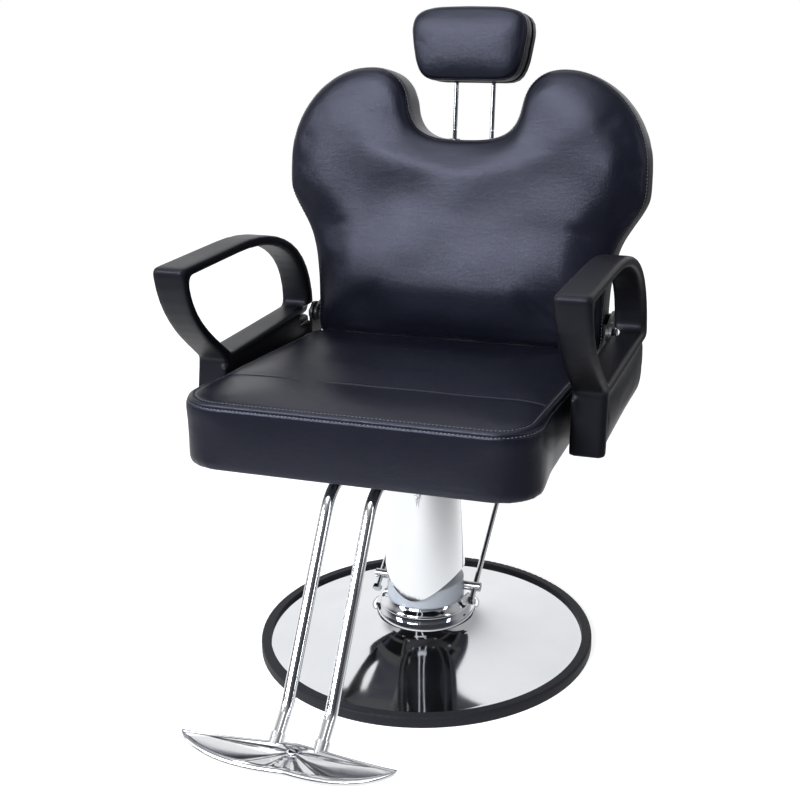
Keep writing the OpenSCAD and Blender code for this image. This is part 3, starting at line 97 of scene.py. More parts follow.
# The stuffing: the places from the first value to the second where it fills the front
# corners, the rear edge and the crown, by how much, and the hem of the cover under the board
SEAT_AHEAD = (0.195, 0.3)
SEAT_BESIDE = (0.2, SEAT_HALF)
SEAT_BEHIND = (0.11, SEAT_REAR)
SEAT_UPPER = (SEAT_FOOT + 0.02, SEAT_FOOT + 0.06)
SEAT_CROWN = (0.004, 0.014)
SEAT_FRONT_FILL = 0.007
SEAT_REAR_FILL = Vector((0, 0.007, 0.0055))
HEM_SKIN = 0.001
HEM_WAVE = 0.006
HEM_WAVE_SCALE = 23
HEM_RUN = 0.005
HEM_RISE = 0.004

# Seams round the seat's edge: how far out of the outline and over the seam height, the step
# along the line, and the line's depth, under zero where it stands proud, and width
SEAT_SEAMS = {
    "welt": (-0.003, 0.004, 0.003, -0.0011, 0.0042),
    "lower": (0.001, -0.0035, 0.002, 0.0012, 0.0016),
    "upper": (-0.0095, 0.006, 0.002, 0.001, 0.0016),
}
# Across the seat: how far behind the cross seam, depth and width, and a height over it
CROSS_SEAMS = {"seam": (0.0, 0.0016, 0.0018), "fold": (0.0035, -0.0006, 0.0022)}
CROSS_SEAM_TOP = SEAT_FOOT + SEAT_FRONT_H + 0.01

# The headrest's front seam and the depths of its pad, board and cover behind it
HEAD_FACE = -0.0105
HEAD_PAD_DEPTH = 0.044
HEAD_WRAP_DEPTH = 0.053

# Seams of the back and the headrest: how far behind the front seam plane each lies, and the
# depth and width of each pressed line there
BACK_SEAM = 0.007
BACK_REAR_SEAM = BACK_DEPTH - 0.006
BACK_STITCHES = 0.0105
BACK_PRESSED = {"seam": ((-0.0008, 0.0055), (0.0022, 0.0016)), "rear": ((0.0018, 0.0018),)}
HEAD_SEAM = 0.006
HEAD_STITCHES = 0.0095
HEAD_PRESSED = ((-0.0006, 0.005), (0.002, 0.0015))
HEAD_STITCH = 0.0034
HEAD_THREAD = 0.0004
HEAD_SHARE = 0.8

# A pad's points: how near a plane they lie on it, how far behind it the next ring is, and how
# far ahead of the seam plane the padded face starts
RING_SKIN = 0.0005
RING_STEP = 0.002
FACE_SKIN = 0.002

# The back's stuffing: the places from the first value to the second where it fills the crown,
# the lower edge and its corners, and by how much
BACK_CROWN = (BACK_FACE - 0.003, BACK_FACE - 0.014)
BACK_LOW = (-0.004, -0.028)
BACK_SIDE = (0.228, 0.262)
BACK_CORNER = (0.014, -0.018)
BACK_LOW_FILL = 0.0074
BACK_CORNER_DROP = 0.006
BACK_CORNER_FILL = 0.0035

# The cast foot plate, its flutes, and the tube ends that sit in its sockets
WING_HALF = 0.1605
WING_DEPTH = 0.058
WING_THICK = 0.01
WING_REAR = -0.5501
WING_TOP = 0.1261
WING_SWEEP = 0.038
WING_RISE = 0.013
WING_BLUNT = 2.4
WING_TAPER = 0.7
WING_LIFT = 1.6
WING_FALL = 0.8 * WING_THICK
WING_BEND = 1.2
TIP_LENGTH = 0.02
TIP_SHARE = 0.15
EDGE_ROUND = 12
PLATE_STEPS = (150, 112)
CAP_SHARE = 0.35
FLUTES = 6
FLUTE_TWIST = 0.44
FLUTE_ROUND = 0.8
FLUTE_START = 0.03
FLUTE_LEAST_X = 0.001
FLUTE_DEPTH = 0.0026
RIM_W = 0.0052
RIM_GROOVE = 0.0009
RIM_GROOVE_W = RIM_GROOVE * 1.4
TUBE_SLOPE = math.radians(38)
TUBE_X = 0.034
TUBE_TIP = (-0.5561, 0.1176)
SOCKET_LENGTH = 0.018
SOCKET_RADIUS = 0.0118
SOCKET_TAPER = 0.94
SOCKET_PAST_TIP = 0.002

# Meshes: doubled corners, sharp edges, skins and how often each is smoothed, cloth, seams
# and stitches
DOUBLES = 0.00002
SHARP_ANGLE = math.radians(34)
VOXEL = 0.0064
ARM_VOXEL = 0.0034
SWELL_FRAMES = 20
SWELL_CAP = 0.005
PRESSURE = 4.0
SHRINK = 0.0015
BACK_SHRINK = 0.002
FOOT_BAND = 0.006
FACE_BAND = 0.02
HELD_EDGE = 0.004
PANEL_HELD = 0.012
SEAT_RELAX = 3
BACK_RELAX = 5
BACK_FRONT_RELAX = 9
BACK_FACE_RELAX = 16
HEAD_FRONT_RELAX = 12
HEAD_FACE_RELAX = 14
PANEL_RELAX = 4
ARM_RELAX = 5
BACK_VOXEL_SHARE = 1.15
HEAD_VOXEL_SHARE = 0.7
PANEL_VOXEL_SHARE = 0.8
LINE_STEP = 0.002
FINE_REACH = 0.007
SEAT_FINE_REACH = 0.009
UNEVEN_SCALE = 11
BACK_UNEVEN = 0.0036
SEAT_UNEVEN = 0.0022
STITCH = 0.0042
STITCH_STEP = 0.0062
THREAD_RADIUS = 0.00058
THREAD_LIFT = 0.35

# Light
WORLD_LIGHT = 0.38
SOFTBOX = (0.93, 0.95, 1.0)
DIM_ROOM = (0.045, 0.047, 0.055)
FLOOR_HALF = 12
FLOOR_REACH = (1.1, 1.6)
FAR_FLOOR = 0.3
FLOOR_WHITE = 1.01
FLOOR_ALBEDO = 0.8


# Small helpers for shader nodes

def new_material(name):
    material = bpy.data.materials.new(name)
    material.use_nodes = True
    tree = material.node_tree
    return material, tree, tree.nodes["Principled BSDF"]


def add(tree, kind, **values):
    """A shader node with some of its properties or inputs set."""
    node = tree.nodes.new(kind)
    for key, value in values.items():
        if key in node.inputs:
            node.inputs[key].default_value = value
        else:
            setattr(node, key, value)
    return node


def object_place(tree, scale=(1, 1, 1), turn=(0, 0, 0)):
    """Object coordinates, scaled and turned."""
    place = add(tree, "ShaderNodeTexCoord")
    mapping = add(tree, "ShaderNodeMapping", Scale=scale, Rotation=turn)
    tree.links.new(place.outputs["Object"], mapping.inputs["Vector"])
    return mapping.outputs["Vector"]


def between(tree, factor, low, high):
    """A value that goes from low to high with the factor."""
    node = add(tree, "ShaderNodeMapRange")
    node.inputs["To Min"].default_value = low
    node.inputs["To Max"].default_value = high
    tree.links.new(factor, node.inputs["Value"])
    return node.outputs["Result"]


def tint(tree, factor, low, high):
    """A colour that goes from low to high with the factor."""
    node = add(tree, "ShaderNodeMix", data_type="RGBA")
    node.inputs["A"].default_value = (*low, 1)
    node.inputs["B"].default_value = (*high, 1)
    tree.links.new(factor, node.inputs["Factor"])
    return node.outputs["Result"]


def bump(tree, height, strength, distance, normal=None):
    node = add(tree, "ShaderNodeBump", Strength=strength, Distance=distance)
    tree.links.new(height, node.inputs["Height"])
    if normal:
        tree.links.new(normal, node.inputs["Normal"])
    return node.outputs["Normal"]


def mesh_of(name, bm):
    mesh = bpy.data.meshes.new(name)
    bm.to_mesh(mesh)
    bm.free()
    return mesh


def new_group(name, inputs, outputs):
    """A shader node group with named sockets and its input and output nodes."""
    group = bpy.data.node_groups.new(name, "ShaderNodeTree")
    for label, kind, value in inputs:
        socket = group.interface.new_socket(label, in_out="INPUT", socket_type=kind)
        if value is not None:
            socket.default_value = value
    for label, kind in outputs:
        group.interface.new_socket(label, in_out="OUTPUT", socket_type=kind)
    return group, group.nodes.new("NodeGroupInput"), group.nodes.new("NodeGroupOutput")


def place_group(tree, group, **values):
    node = tree.nodes.new("ShaderNodeGroup")
    node.node_tree = group
    for key, value in values.items():
        node.inputs[key.replace("_", " ")].default_value = value
    return node


def hide_grain():
    """Pebbled grain of coated fabric: cells with creases between them, and slow mottling."""
    group, inside, out = new_group(
        "hide grain",
        [("Vector", "NodeSocketVector", None), ("Grain", "NodeSocketFloat", 500.0)],
        [("Height", "NodeSocketFloat"), ("Mottle", "NodeSocketFloat")],
    )
    link = group.links.new
    cells = add(group, "ShaderNodeTexVoronoi", feature="DISTANCE_TO_EDGE")
    link(inside.outputs["Vector"], cells.inputs["Vector"])
    link(inside.outputs["Grain"], cells.inputs["Scale"])
    edge = add(group, "ShaderNodeMapRange")
    edge.inputs["From Max"].default_value = 0.25
    link(cells.outputs["Distance"], edge.inputs["Value"])
    fine = add(group, "ShaderNodeTexNoise", Scale=900.0, Detail=3.0)
    link(inside.outputs["Vector"], fine.inputs["Vector"])
    height = add(group, "ShaderNodeMath", operation="MULTIPLY_ADD")
    height.inputs[1].default_value = 0.5
    link(fine.outputs["Fac"], height.inputs[0])
    link(edge.outputs["Result"], height.inputs[2])
    slow = add(group, "ShaderNodeTexNoise", Scale=9.0, Detail=4.0, Roughness=0.6)
    link(inside.outputs["Vector"], slow.inputs["Vector"])
    link(height.outputs["Value"], out.inputs["Height"])
    link(slow.outputs["Fac"], out.inputs["Mottle"])
    return group


def metal_wear():
    """Fine scratches and faint smudges of handled metal."""
    group, inside, out = new_group(
        "metal wear",
        [("Vector", "NodeSocketVector", None), ("Scratch scale", "NodeSocketFloat", 60.0)],
        [("Scratches", "NodeSocketFloat"), ("Smudge", "NodeSocketFloat")],
    )
    link = group.links.new
    stretch = add(group, "ShaderNodeMapping", Scale=(1, 1, 12))
    link(inside.outputs["Vector"], stretch.inputs["Vector"])
    lines = add(group, "ShaderNodeTexNoise", Detail=6.0, Roughness=0.7)
    link(stretch.outputs["Vector"], lines.inputs["Vector"])
    link(inside.outputs["Scratch scale"], lines.inputs["Scale"])
    smudge = add(group, "ShaderNodeTexNoise", Scale=14.0, Detail=3.0)
    link(inside.outputs["Vector"], smudge.inputs["Vector"])
    link(lines.outputs["Fac"], out.inputs["Scratches"])
    link(smudge.outputs["Fac"], out.inputs["Smudge"])
    return group


GRAIN = hide_grain()
WEAR = metal_wear()


# Materials

def set_values(shader, **values):
    for key, value in values.items():
        shader.inputs[key.replace("_", " ")].default_value = value


def grained(name, grain_scale, low, high, rough, height, depth):
    """A moulded or coated skin with the hide grain, and the node of the grain's bump."""
    material, tree, shader = new_material(name)
    grain = place_group(tree, GRAIN, Grain=grain_scale)
    tree.links.new(object_place(tree), grain.inputs["Vector"])
    tree.links.new(tint(tree, grain.outputs["Mottle"], low, high), shader.inputs["Base Color"])
    tree.links.new(between(tree, grain.outputs["Mottle"], *rough), shader.inputs["Roughness"])
    skin = bump(tree, grain.outputs["Height"], height, depth)
    tree.links.new(skin, shader.inputs["Normal"])
    return material, tree, shader, skin.node


def vinyl():
    """Satin blue-black coated fabric with a fine pebbled grain over slow creases."""
    material, tree, shader, skin = grained("blue-black vinyl", 620.0, (0.0036, 0.0041, 0.0088),
                                           (0.0064, 0.0072, 0.014), (0.27, 0.36), 0.22, 0.0004)
    creases = add(tree, "ShaderNodeTexNoise", Scale=38.0, Detail=2.0, Distortion=1.2)
    tree.links.new(object_place(tree, scale=(1, 1, 2.2)), creases.inputs["Vector"])
    tree.links.new(bump(tree, creases.outputs["Fac"], 0.12, 0.002), skin.inputs["Normal"])
    set_values(shader, Specular_IOR_Level=0.44, Specular_Tint=(0.76, 0.79, 1, 1))
    return material


def thread():
    """Waxed dark thread."""
    material, tree, shader = new_material("dark thread")
    strands = add(tree, "ShaderNodeTexWave", Scale=900.0, Distortion=2.0)
    tree.links.new(object_place(tree, turn=(0.5, 0.4, 0.6)), strands.inputs["Vector"])
    tree.links.new(tint(tree, strands.outputs["Fac"], (0.12, 0.125, 0.145), (0.26, 0.27, 0.3)),
                   shader.inputs["Base Color"])
    tree.links.new(bump(tree, strands.outputs["Fac"], 0.4, 0.0002), shader.inputs["Normal"])
    set_values(shader, Roughness=0.6)
    return material


def arm_skin():
    """Moulded self-skinned foam, satin black, with an even fine texture."""
    material, _, shader, _ = grained("black moulded arm foam", 900.0, (0.004, 0.004, 0.0055),
                                     (0.008, 0.008, 0.0105), (0.34, 0.46), 0.2, 0.0002)
    set_values(shader, Specular_IOR_Level=0.28, Specular_Tint=(0.8, 0.82, 1, 1))
    return material


def edge_rubber():
    """Dark grey rubber with a dull moulded skin and a little dust."""
    material, _, shader, _ = grained("dark grey rubber", 1400.0, (0.011, 0.0115, 0.016),
                                     (0.019, 0.0195, 0.026), (0.5, 0.66), 0.2, 0.0002)
    set_values(shader, Specular_IOR_Level=0.25)
    return material


def metal(name, scratch_scale, low, high, rough_mask, rough, scratches=None):
    """Bare or plated metal with smudges and scratches; scratches gives their strength and depth."""
    material, tree, shader = new_material(name)
    wear = place_group(tree, WEAR, Scratch_scale=scratch_scale)
    tree.links.new(object_place(tree), wear.inputs["Vector"])
    tree.links.new(tint(tree, wear.outputs["Smudge"], low, high), shader.inputs["Base Color"])
    tree.links.new(between(tree, wear.outputs[rough_mask], *rough), shader.inputs["Roughness"])
    if scratches:
        tree.links.new(bump(tree, wear.outputs["Scratches"], *scratches), shader.inputs["Normal"])
    set_values(shader, Metallic=1.0)
    return material


def paint(name, low, high, rough, peel):
    """Sprayed paint with a slight orange peel."""
    material, tree, shader = new_material(name)
    place = object_place(tree)
    mottle = add(tree, "ShaderNodeTexNoise", Scale=25.0, Detail=3.0)
    tree.links.new(place, mottle.inputs["Vector"])
    skin = add(tree, "ShaderNodeTexNoise", Scale=450.0, Detail=1.0)
    tree.links.new(place, skin.inputs["Vector"])
    tree.links.new(tint(tree, mottle.outputs["Fac"], low, high), shader.inputs["Base Color"])
    tree.links.new(between(tree, mottle.outputs["Fac"], rough - 0.05, rough + 0.08),
                   shader.inputs["Roughness"])
    tree.links.new(bump(tree, skin.outputs["Fac"], peel, 0.0003), shader.inputs["Normal"])
    set_values(shader, Coat_Weight=0.3, Coat_Roughness=rough / 2)
    return material


def plywood():
    """Birch ply with a long grain and its layers on the edge."""
    material, tree, shader = new_material("birch plywood")
    rings = add(tree, "ShaderNodeTexNoise", Scale=6.0, Detail=6.0, Distortion=0.6)
    tree.links.new(object_place(tree, scale=(12, 1, 1)), rings.inputs["Vector"])
    layers = add(tree, "ShaderNodeTexWave", Scale=55.0, bands_direction="Z")
    tree.links.new(object_place(tree), layers.inputs["Vector"])
    wood = tint(tree, rings.outputs["Fac"], (0.34, 0.22, 0.12), (0.62, 0.46, 0.29))
    mix = add(tree, "ShaderNodeMix", data_type="RGBA", blend_type="MULTIPLY", Factor=0.35)
    tree.links.new(wood, mix.inputs["A"])
    tree.links.new(tint(tree, layers.outputs["Fac"], (0.5, 0.42, 0.34), (1, 1, 1)), mix.inputs["B"])
    tree.links.new(mix.outputs["Result"], shader.inputs["Base Color"])
    tree.links.new(bump(tree, rings.outputs["Fac"], 0.15, 0.0005), shader.inputs["Normal"])
    set_values(shader, Roughness=0.65)
    return material


def dust_cloth():
    """Thin black bonded cloth stapled under the seat."""
    material, tree, shader = new_material("black dust cloth")
    fibres = add(tree, "ShaderNodeTexNoise", Scale=260.0, Detail=4.0, Distortion=2.5)
    tree.links.new(object_place(tree), fibres.inputs["Vector"])
    tree.links.new(tint(tree, fibres.outputs["Fac"], (0.004, 0.004, 0.005), (0.012, 0.012, 0.014)),
                   shader.inputs["Base Color"])
    tree.links.new(bump(tree, fibres.outputs["Fac"], 0.5, 0.0005), shader.inputs["Normal"])
    set_values(shader, Roughness=0.9, Specular_IOR_Level=0.12)
    return material


MATERIALS = {
    "upholstery": vinyl(),
    "thread": thread(),
    "arm_foam": arm_skin(),
    "chrome": metal("mirror chrome", 80.0, (0.74, 0.76, 0.79), (0.83, 0.845, 0.87),
                    "Smudge", (0.03, 0.09), (0.02, 0.0002)),
    "polished_aluminium": metal("polished casting", 40.0, (0.72, 0.73, 0.75), (0.83, 0.835, 0.85),
                                "Scratches", (0.13, 0.24), (0.08, 0.0006)),
    "steel": metal("zinc plated steel", 120.0, (0.5, 0.51, 0.53), (0.66, 0.67, 0.68),
                   "Scratches", (0.22, 0.4), (0.1, 0.0003)),
    "brass": metal("bearing bronze", 200.0, (0.5, 0.33, 0.14), (0.66, 0.46, 0.22),
                   "Scratches", (0.25, 0.4)),
    "dark_steel": paint("satin black paint", (0.012, 0.012, 0.014), (0.022, 0.022, 0.025), 0.42, 0.12),
    "black_paint": paint("gloss black paint", (0.008, 0.008, 0.009), (0.014, 0.014, 0.016), 0.22, 0.08),
    "pump_paint": paint("grey-blue paint", (0.5, 0.545, 0.6), (0.6, 0.64, 0.69), 0.28, 0.12),
    "nylon": paint("black nylon", (0.012, 0.012, 0.013), (0.02, 0.02, 0.022), 0.5, 0.2),
    "rubber": edge_rubber(),
    "plywood": plywood(),
    "dust cloth": dust_cloth(),
}
FINISH_OF = {"seat_board": "dust cloth", "back_hinge_left": "dark_steel", "back_hinge_right": "dark_steel"}
SLOT_OF = {part["node"]: part["material_slot"] for part in frame["record"]["subparts"]}


def dress(piece, slot):
    piece.data.materials.clear()
    piece.data.materials.append(MATERIALS[slot])


for name, node in NODES.items():
    dress(node, FINISH_OF.get(name, SLOT_OF[name]))


# Studio

def set_camera():
    back = Vector((
        math.sin(CAMERA_AZIMUTH) * math.cos(CAMERA_PITCH),
        -math.cos(CAMERA_AZIMUTH) * math.cos(CAMERA_PITCH),
        math.sin(CAMERA_PITCH),
    ))
    side = Vector((math.cos(CAMERA_AZIMUTH), math.sin(CAMERA_AZIMUTH), 0))
    rise = back.cross(side)
    right = side * math.cos(CAMERA_ROLL) + rise * math.sin(CAMERA_ROLL)
    up = rise * math.cos(CAMERA_ROLL) - side * math.sin(CAMERA_ROLL)
    turn = Matrix((right, up, back)).transposed().to_4x4()
    camera = bpy.data.objects.new("camera", bpy.data.cameras.new("camera"))
    camera.data.sensor_width = 36
    camera.data.lens = CAMERA_LENS
    camera.data.shift_x, camera.data.shift_y = CAMERA_SHIFT
    camera.data.clip_end = 50
    camera.matrix_world = Matrix.Translation(CAMERA_PLACE) @ turn
    bpy.context.scene.collection.objects.link(camera)
    bpy.context.scene.camera = camera


def area_light(name, place, target, size, power):
    data = bpy.data.lights.new(name, "AREA")
    data.shape = "RECTANGLE"
    data.size, data.size_y = size
    data.energy = power
    data.color = SOFTBOX
    light = bpy.data.objects.new(name, data)
    aim = Vector(target) - Vector(place)
    light.matrix_world = Matrix.Translation(place) @ aim.to_track_quat("-Z", "Y").to_matrix().to_4x4()
    bpy.context.scene.collection.objects.link(light)


def ramp(tree, value, start, end, low=0.0, high=1.0):
    """A smooth change from low to high as the value goes from start to end."""
    node = add(tree, "ShaderNodeMapRange", interpolation_type="SMOOTHSTEP")
    for label, limit in (("From Min", start), ("From Max", end), ("To Min", low), ("To Max", high)):
        node.inputs[label].default_value = limit
    tree.links.new(value, node.inputs["Value"])
    return node.outputs["Result"]


def joined(tree, operation, first, second):
    """Two values put together by a maths operation."""
    node = add(tree, "ShaderNodeMath", operation=operation)
    tree.links.new(first, node.inputs[0])
    tree.links.new(second, node.inputs[1])
    return node.outputs["Value"]


def mixed(tree, share, first, second):
    """The first shader where the share is 0 and the second where it is 1."""
    node = add(tree, "ShaderNodeMixShader")
    for value, socket in zip((share, first, second), node.inputs):
        tree.links.new(value, socket)
    return node.outputs["Shader"]


def set_world():
    """Even light all round. What shows is white behind the chair and a dim room on the camera's side."""
    world = bpy.data.worlds.new("studio")
    world.use_nodes = True
    tree = world.node_tree
    lit = tree.nodes["Background"]
    set_values(lit, Color=(1, 1, 1, 1), Strength=WORLD_LIGHT)
    direction = add(tree, "ShaderNodeTexCoord")
    axes = add(tree, "ShaderNodeSeparateXYZ")
    tree.links.new(direction.outputs["Generated"], axes.inputs["Vector"])
    behind = ramp(tree, axes.outputs["Y"], -0.35, 0.3)
    above = ramp(tree, axes.outputs["Z"], 0.35, 0.95, high=0.7)
    left = ramp(tree, axes.outputs["X"], 0.5, -0.25, low=0.4)
    room = joined(tree, "MULTIPLY", joined(tree, "MAXIMUM", behind, above), left)
    path = add(tree, "ShaderNodeLightPath").outputs
    white = joined(tree, "MAXIMUM", path["Is Camera Ray"], room)
    shown = add(tree, "ShaderNodeBackground")
    tree.links.new(tint(tree, white, DIM_ROOM, (1, 1, 1)), shown.inputs["Color"])
    seen = joined(tree, "MAXIMUM", path["Is Camera Ray"], path["Is Glossy Ray"])
    seen = joined(tree, "MAXIMUM", seen, path["Is Transmission Ray"])
    tree.links.new(mixed(tree, seen, lit.outputs["Background"], shown.outputs["Background"]),
                   tree.nodes["World Output"].inputs["Surface"])
    bpy.context.scene.world = world


def set_floor():
    """White on camera with the chair's shadow. In the chrome it is white near the chair and dim far out."""
    bm = bmesh.new()
    bmesh.ops.create_grid(bm, x_segments=1, y_segments=1, size=FLOOR_HALF)
    floor = bpy.data.objects.new("floor", mesh_of("floor", bm))
    bpy.context.scene.collection.objects.link(floor)
    material, tree, shader = new_material("white floor")
    set_values(shader, Base_Color=(0.8, 0.8, 0.81, 1), Roughness=0.9, Specular_IOR_Level=0.0)
    glow = add(tree, "ShaderNodeEmission", Strength=FLOOR_WHITE - FLOOR_ALBEDO * WORLD_LIGHT)
    place = object_place(tree)
    axes = add(tree, "ShaderNodeSeparateXYZ")
    tree.links.new(place, axes.inputs["Vector"])
    side = ramp(tree, axes.outputs["X"], 1.1, -0.2, 0.4, 1.25)
    reach = add(tree, "ShaderNodeVectorMath", operation="LENGTH")
    tree.links.new(place, reach.inputs[0])
    near = ramp(tree, reach.outputs["Value"], *FLOOR_REACH, 1.0, FAR_FLOOR)
    shown = add(tree, "ShaderNodeEmission")
    tree.links.new(joined(tree, "MULTIPLY", side, near), shown.inputs["Strength"])
    both = add(tree, "ShaderNodeAddShader")
    tree.links.new(shader.outputs["BSDF"], both.inputs[0])
    tree.links.new(glow.outputs["Emission"], both.inputs[1])
    path = add(tree, "ShaderNodeLightPath").outputs
    through = joined(tree, "MAXIMUM", path["Is Camera Ray"], path["Is Transmission Ray"])
    on_camera = mixed(tree, through, shader.outputs["BSDF"], both.outputs["Shader"])
    tree.links.new(mixed(tree, path["Is Glossy Ray"], on_camera, shown.outputs["Emission"]),
                   tree.nodes["Material Output"].inputs["Surface"])
    floor.data.materials.append(material)


set_camera()
set_world()
set_floor()
bpy.context.scene.view_settings.view_transform = "Standard"
area_light("top softbox", (-0.3, -0.9, 2.7), (0, 0, 0.5), (1.5, 1.1), 17)
area_light("front softbox", (-0.8, -2.7, 2.2), (0, 0, 0.8), (1.3, 0.7), 74)
area_light("left softbox", (-2.1, -1.7, 1.8), (0, 0, 0.7), (0.7, 1.1), 26)
area_light("right softbox", (2.4, -0.6, 1.5), (0, 0, 0.6), (0.4, 1.2), 5)


# Smooth shading of the CAD nodes: doubles merged, edges sharper than the limit kept

def smooth_by_angle(limit):
    group = bpy.data.node_groups.new("smooth by angle", "GeometryNodeTree")
    group.interface.new_socket("Geometry", in_out="INPUT", socket_type="NodeSocketGeometry")
    group.interface.new_socket("Geometry", in_out="OUTPUT", socket_type="NodeSocketGeometry")
    inside, out = group.nodes.new("NodeGroupInput"), group.nodes.new("NodeGroupOutput")
    merge = group.nodes.new("GeometryNodeMergeByDistance")
    merge.inputs["Distance"].default_value = DOUBLES
    soft = group.nodes.new("GeometryNodeSetShadeSmooth")
    sharp = group.nodes.new("GeometryNodeSetShadeSmooth")
    sharp.domain = "EDGE"
    sharp.inputs["Shade Smooth"].default_value = False
    angle = group.nodes.new("GeometryNodeInputMeshEdgeAngle")
    over = group.nodes.new("FunctionNodeCompare")
    over.operation = "GREATER_THAN"
    over.inputs[1].default_value = limit
    link = group.links.new
    link(inside.outputs["Geometry"], merge.inputs["Geometry"])
    link(merge.outputs["Geometry"], soft.inputs["Geometry"])
    link(soft.outputs["Geometry"], sharp.inputs["Geometry"])
    link(angle.outputs["Unsigned Angle"], over.inputs[0])
    link(over.outputs["Result"], sharp.inputs["Selection"])
    link(sharp.outputs["Geometry"], out.inputs["Geometry"])
    return group


SMOOTHING = smooth_by_angle(SHARP_ANGLE)
for node in NODES.values():
    node.modifiers.new("smooth by angle", "NODES").node_group = SMOOTHING


# Pieces made from a CAD node's own form

def form_of(node_name, turn=Matrix()):
    """A copy of a node's mesh with its doubled corners merged, turned, as a bmesh."""
    bm = bmesh.new()
    bm.from_mesh(NODES[node_name].data)
    bmesh.ops.remove_doubles(bm, verts=bm.verts, dist=DOUBLES)
    bmesh.ops.transform(bm, matrix=turn, verts=bm.verts)
    bmesh.ops.recalc_face_normals(bm, faces=bm.faces)
    bm.normal_update()
    return bm


def finished_mesh(piece):
    """The piece's mesh with its modifiers in it."""
    graph = bpy.context.evaluated_depsgraph_get()
    return bpy.data.meshes.new_from_object(piece.evaluated_get(graph))


def new_piece(name, mesh, slot, body, *replaced, finish=None):
    piece = bpy.data.objects.new(name, mesh)
    bpy.context.scene.collection.objects.link(piece)
    dress(piece, finish or slot)
    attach(piece, body)
    if replaced:
        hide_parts(*replaced)
    return piece


# Padded pieces: an even skin round the CAD form, swollen by its stuffing

def even_skin(name, bm, voxel, shrink, kept=lambda place: False):
    """A closed skin of even squares round a form, drawn in a little but where it is kept."""
    for vert in bm.verts:
        if not kept(vert.co):
            vert.co -= vert.normal * shrink
    blank = bpy.data.objects.new(name, mesh_of(name, bm))
    bpy.context.scene.collection.objects.link(blank)
    remesh = blank.modifiers.new("skin", "REMESH")
    remesh.mode = "VOXEL"
    remesh.voxel_size = voxel
    bpy.context.view_layer.update()
    mesh = finished_mesh(blank)
    bpy.data.objects.remove(blank)
    bm = bmesh.new()
    bm.from_mesh(mesh)
    return bm


def relax(bm, times, chosen):
    """Smooths the points that are chosen."""
    verts = [vert for vert in bm.verts if chosen(vert.co)]
    for _ in range(times):
        bmesh.ops.smooth_vert(bm, verts=verts, factor=0.5, use_axis_x=True, use_axis_y=True, use_axis_z=True)


def soften(bm, height, share):
    """The stuffing's slow unevenness under the cover, by a share from 0 to 1 at each place."""
    bm.normal_update()
    for vert in bm.verts:
        vert.co += vert.normal * (height * share(vert.co) * noise.noise(vert.co * UNEVEN_SCALE))


def add_cloth(piece, held, pressure):
    """Cloth that swells under pressure where it isn't held."""
    group = piece.vertex_groups.new(name="held")
    for vertex in piece.data.vertices:
        share = held(vertex.co)
        if share > 0:
            group.add([vertex.index], share, "REPLACE")
    cloth = piece.modifiers.new("cloth", "CLOTH")
    settings = cloth.settings
    settings.quality = 4
    settings.mass = 0.3
    settings.tension_stiffness = settings.compression_stiffness = 22
    settings.shear_stiffness = 12
    settings.bending_stiffness = 1.5
    settings.use_pressure = True
    settings.uniform_pressure_force = pressure
    settings.effector_weights.gravity = 0
    settings.vertex_group_mass = "held"
    cloth.collision_settings.use_collision = False
    cloth.point_cache.frame_start = 1
    cloth.point_cache.frame_end = SWELL_FRAMES


def swell(pieces, cap):
    """Runs the cloth of all the pieces together, with no point moving further than the cap."""
    scene = bpy.context.scene
    for step in range(1, SWELL_FRAMES + 1):
        scene.frame_set(step)
    for piece in pieces:
        swollen = finished_mesh(piece)
        for start, end in zip(piece.data.vertices, swollen.vertices):
            way = end.co - start.co
            if way.length > cap:
                way *= cap / way.length
            start.co += way
        piece.modifiers.clear()
        piece.vertex_groups.clear()
        bpy.data.meshes.remove(swollen)
    scene.frame_set(1)


def subdivided(mesh_piece):
    """The piece's mesh, subdivided once, as a bmesh."""
    smooth = mesh_piece.modifiers.new("once", "SUBSURF")
    smooth.levels = smooth.render_levels = 1
    bpy.context.view_layer.update()
    mesh = finished_mesh(mesh_piece)
    mesh_piece.modifiers.clear()
    bm = bmesh.new()
    bm.from_mesh(mesh)
    bpy.data.meshes.remove(mesh)
    return bm


# Seams and stitches

def even_steps(points, step, closed):
    """Points at even steps along a line, each with the line's direction there."""
    ends = points[1:] + points[:1] if closed else points[1:]
    found, left = [], 0.0
    for start, end in zip(points, ends):
        way = end - start
        while left < way.length:
            found.append((start + way * (left / way.length), way.normalized()))
            left += step
        left -= way.length
    return found


def on_surface(bm, places):
    """The places moved to the nearest points of a surface, with its outward direction."""
    surface = BVHTree.FromBMesh(bm)
    found = []
    for place, along in places:
        point, outward, _, _ = surface.find_nearest(place)
        found.append((point, along, outward))
    return found


def tree_of(places):
    tree = KDTree(len(places))
    for index, place in enumerate(places):
        tree.insert(place[0], index)
    tree.balance()
    return tree


def divide_near(bm, trees, reach):
    """Finer squares within reach of the lines."""
    edges = [edge for edge in bm.edges
             if any(tree.find((edge.verts[0].co + edge.verts[1].co) / 2)[2] < reach for tree in trees)]
    bmesh.ops.subdivide_edges(bm, edges=edges, cuts=1, use_grid_fill=True)


def press_line(bm, tree, depth, width):
    """Presses a line into the surface, or raises it where depth is under zero."""
    bm.normal_update()
    moves = []
    for vert in bm.verts:
        far = tree.find(vert.co)[2]
        if far < width * 3:
            moves.append((vert, vert.normal * (-depth * math.exp(-(far / width) ** 2))))
    for vert, move in moves:
        vert.co += move


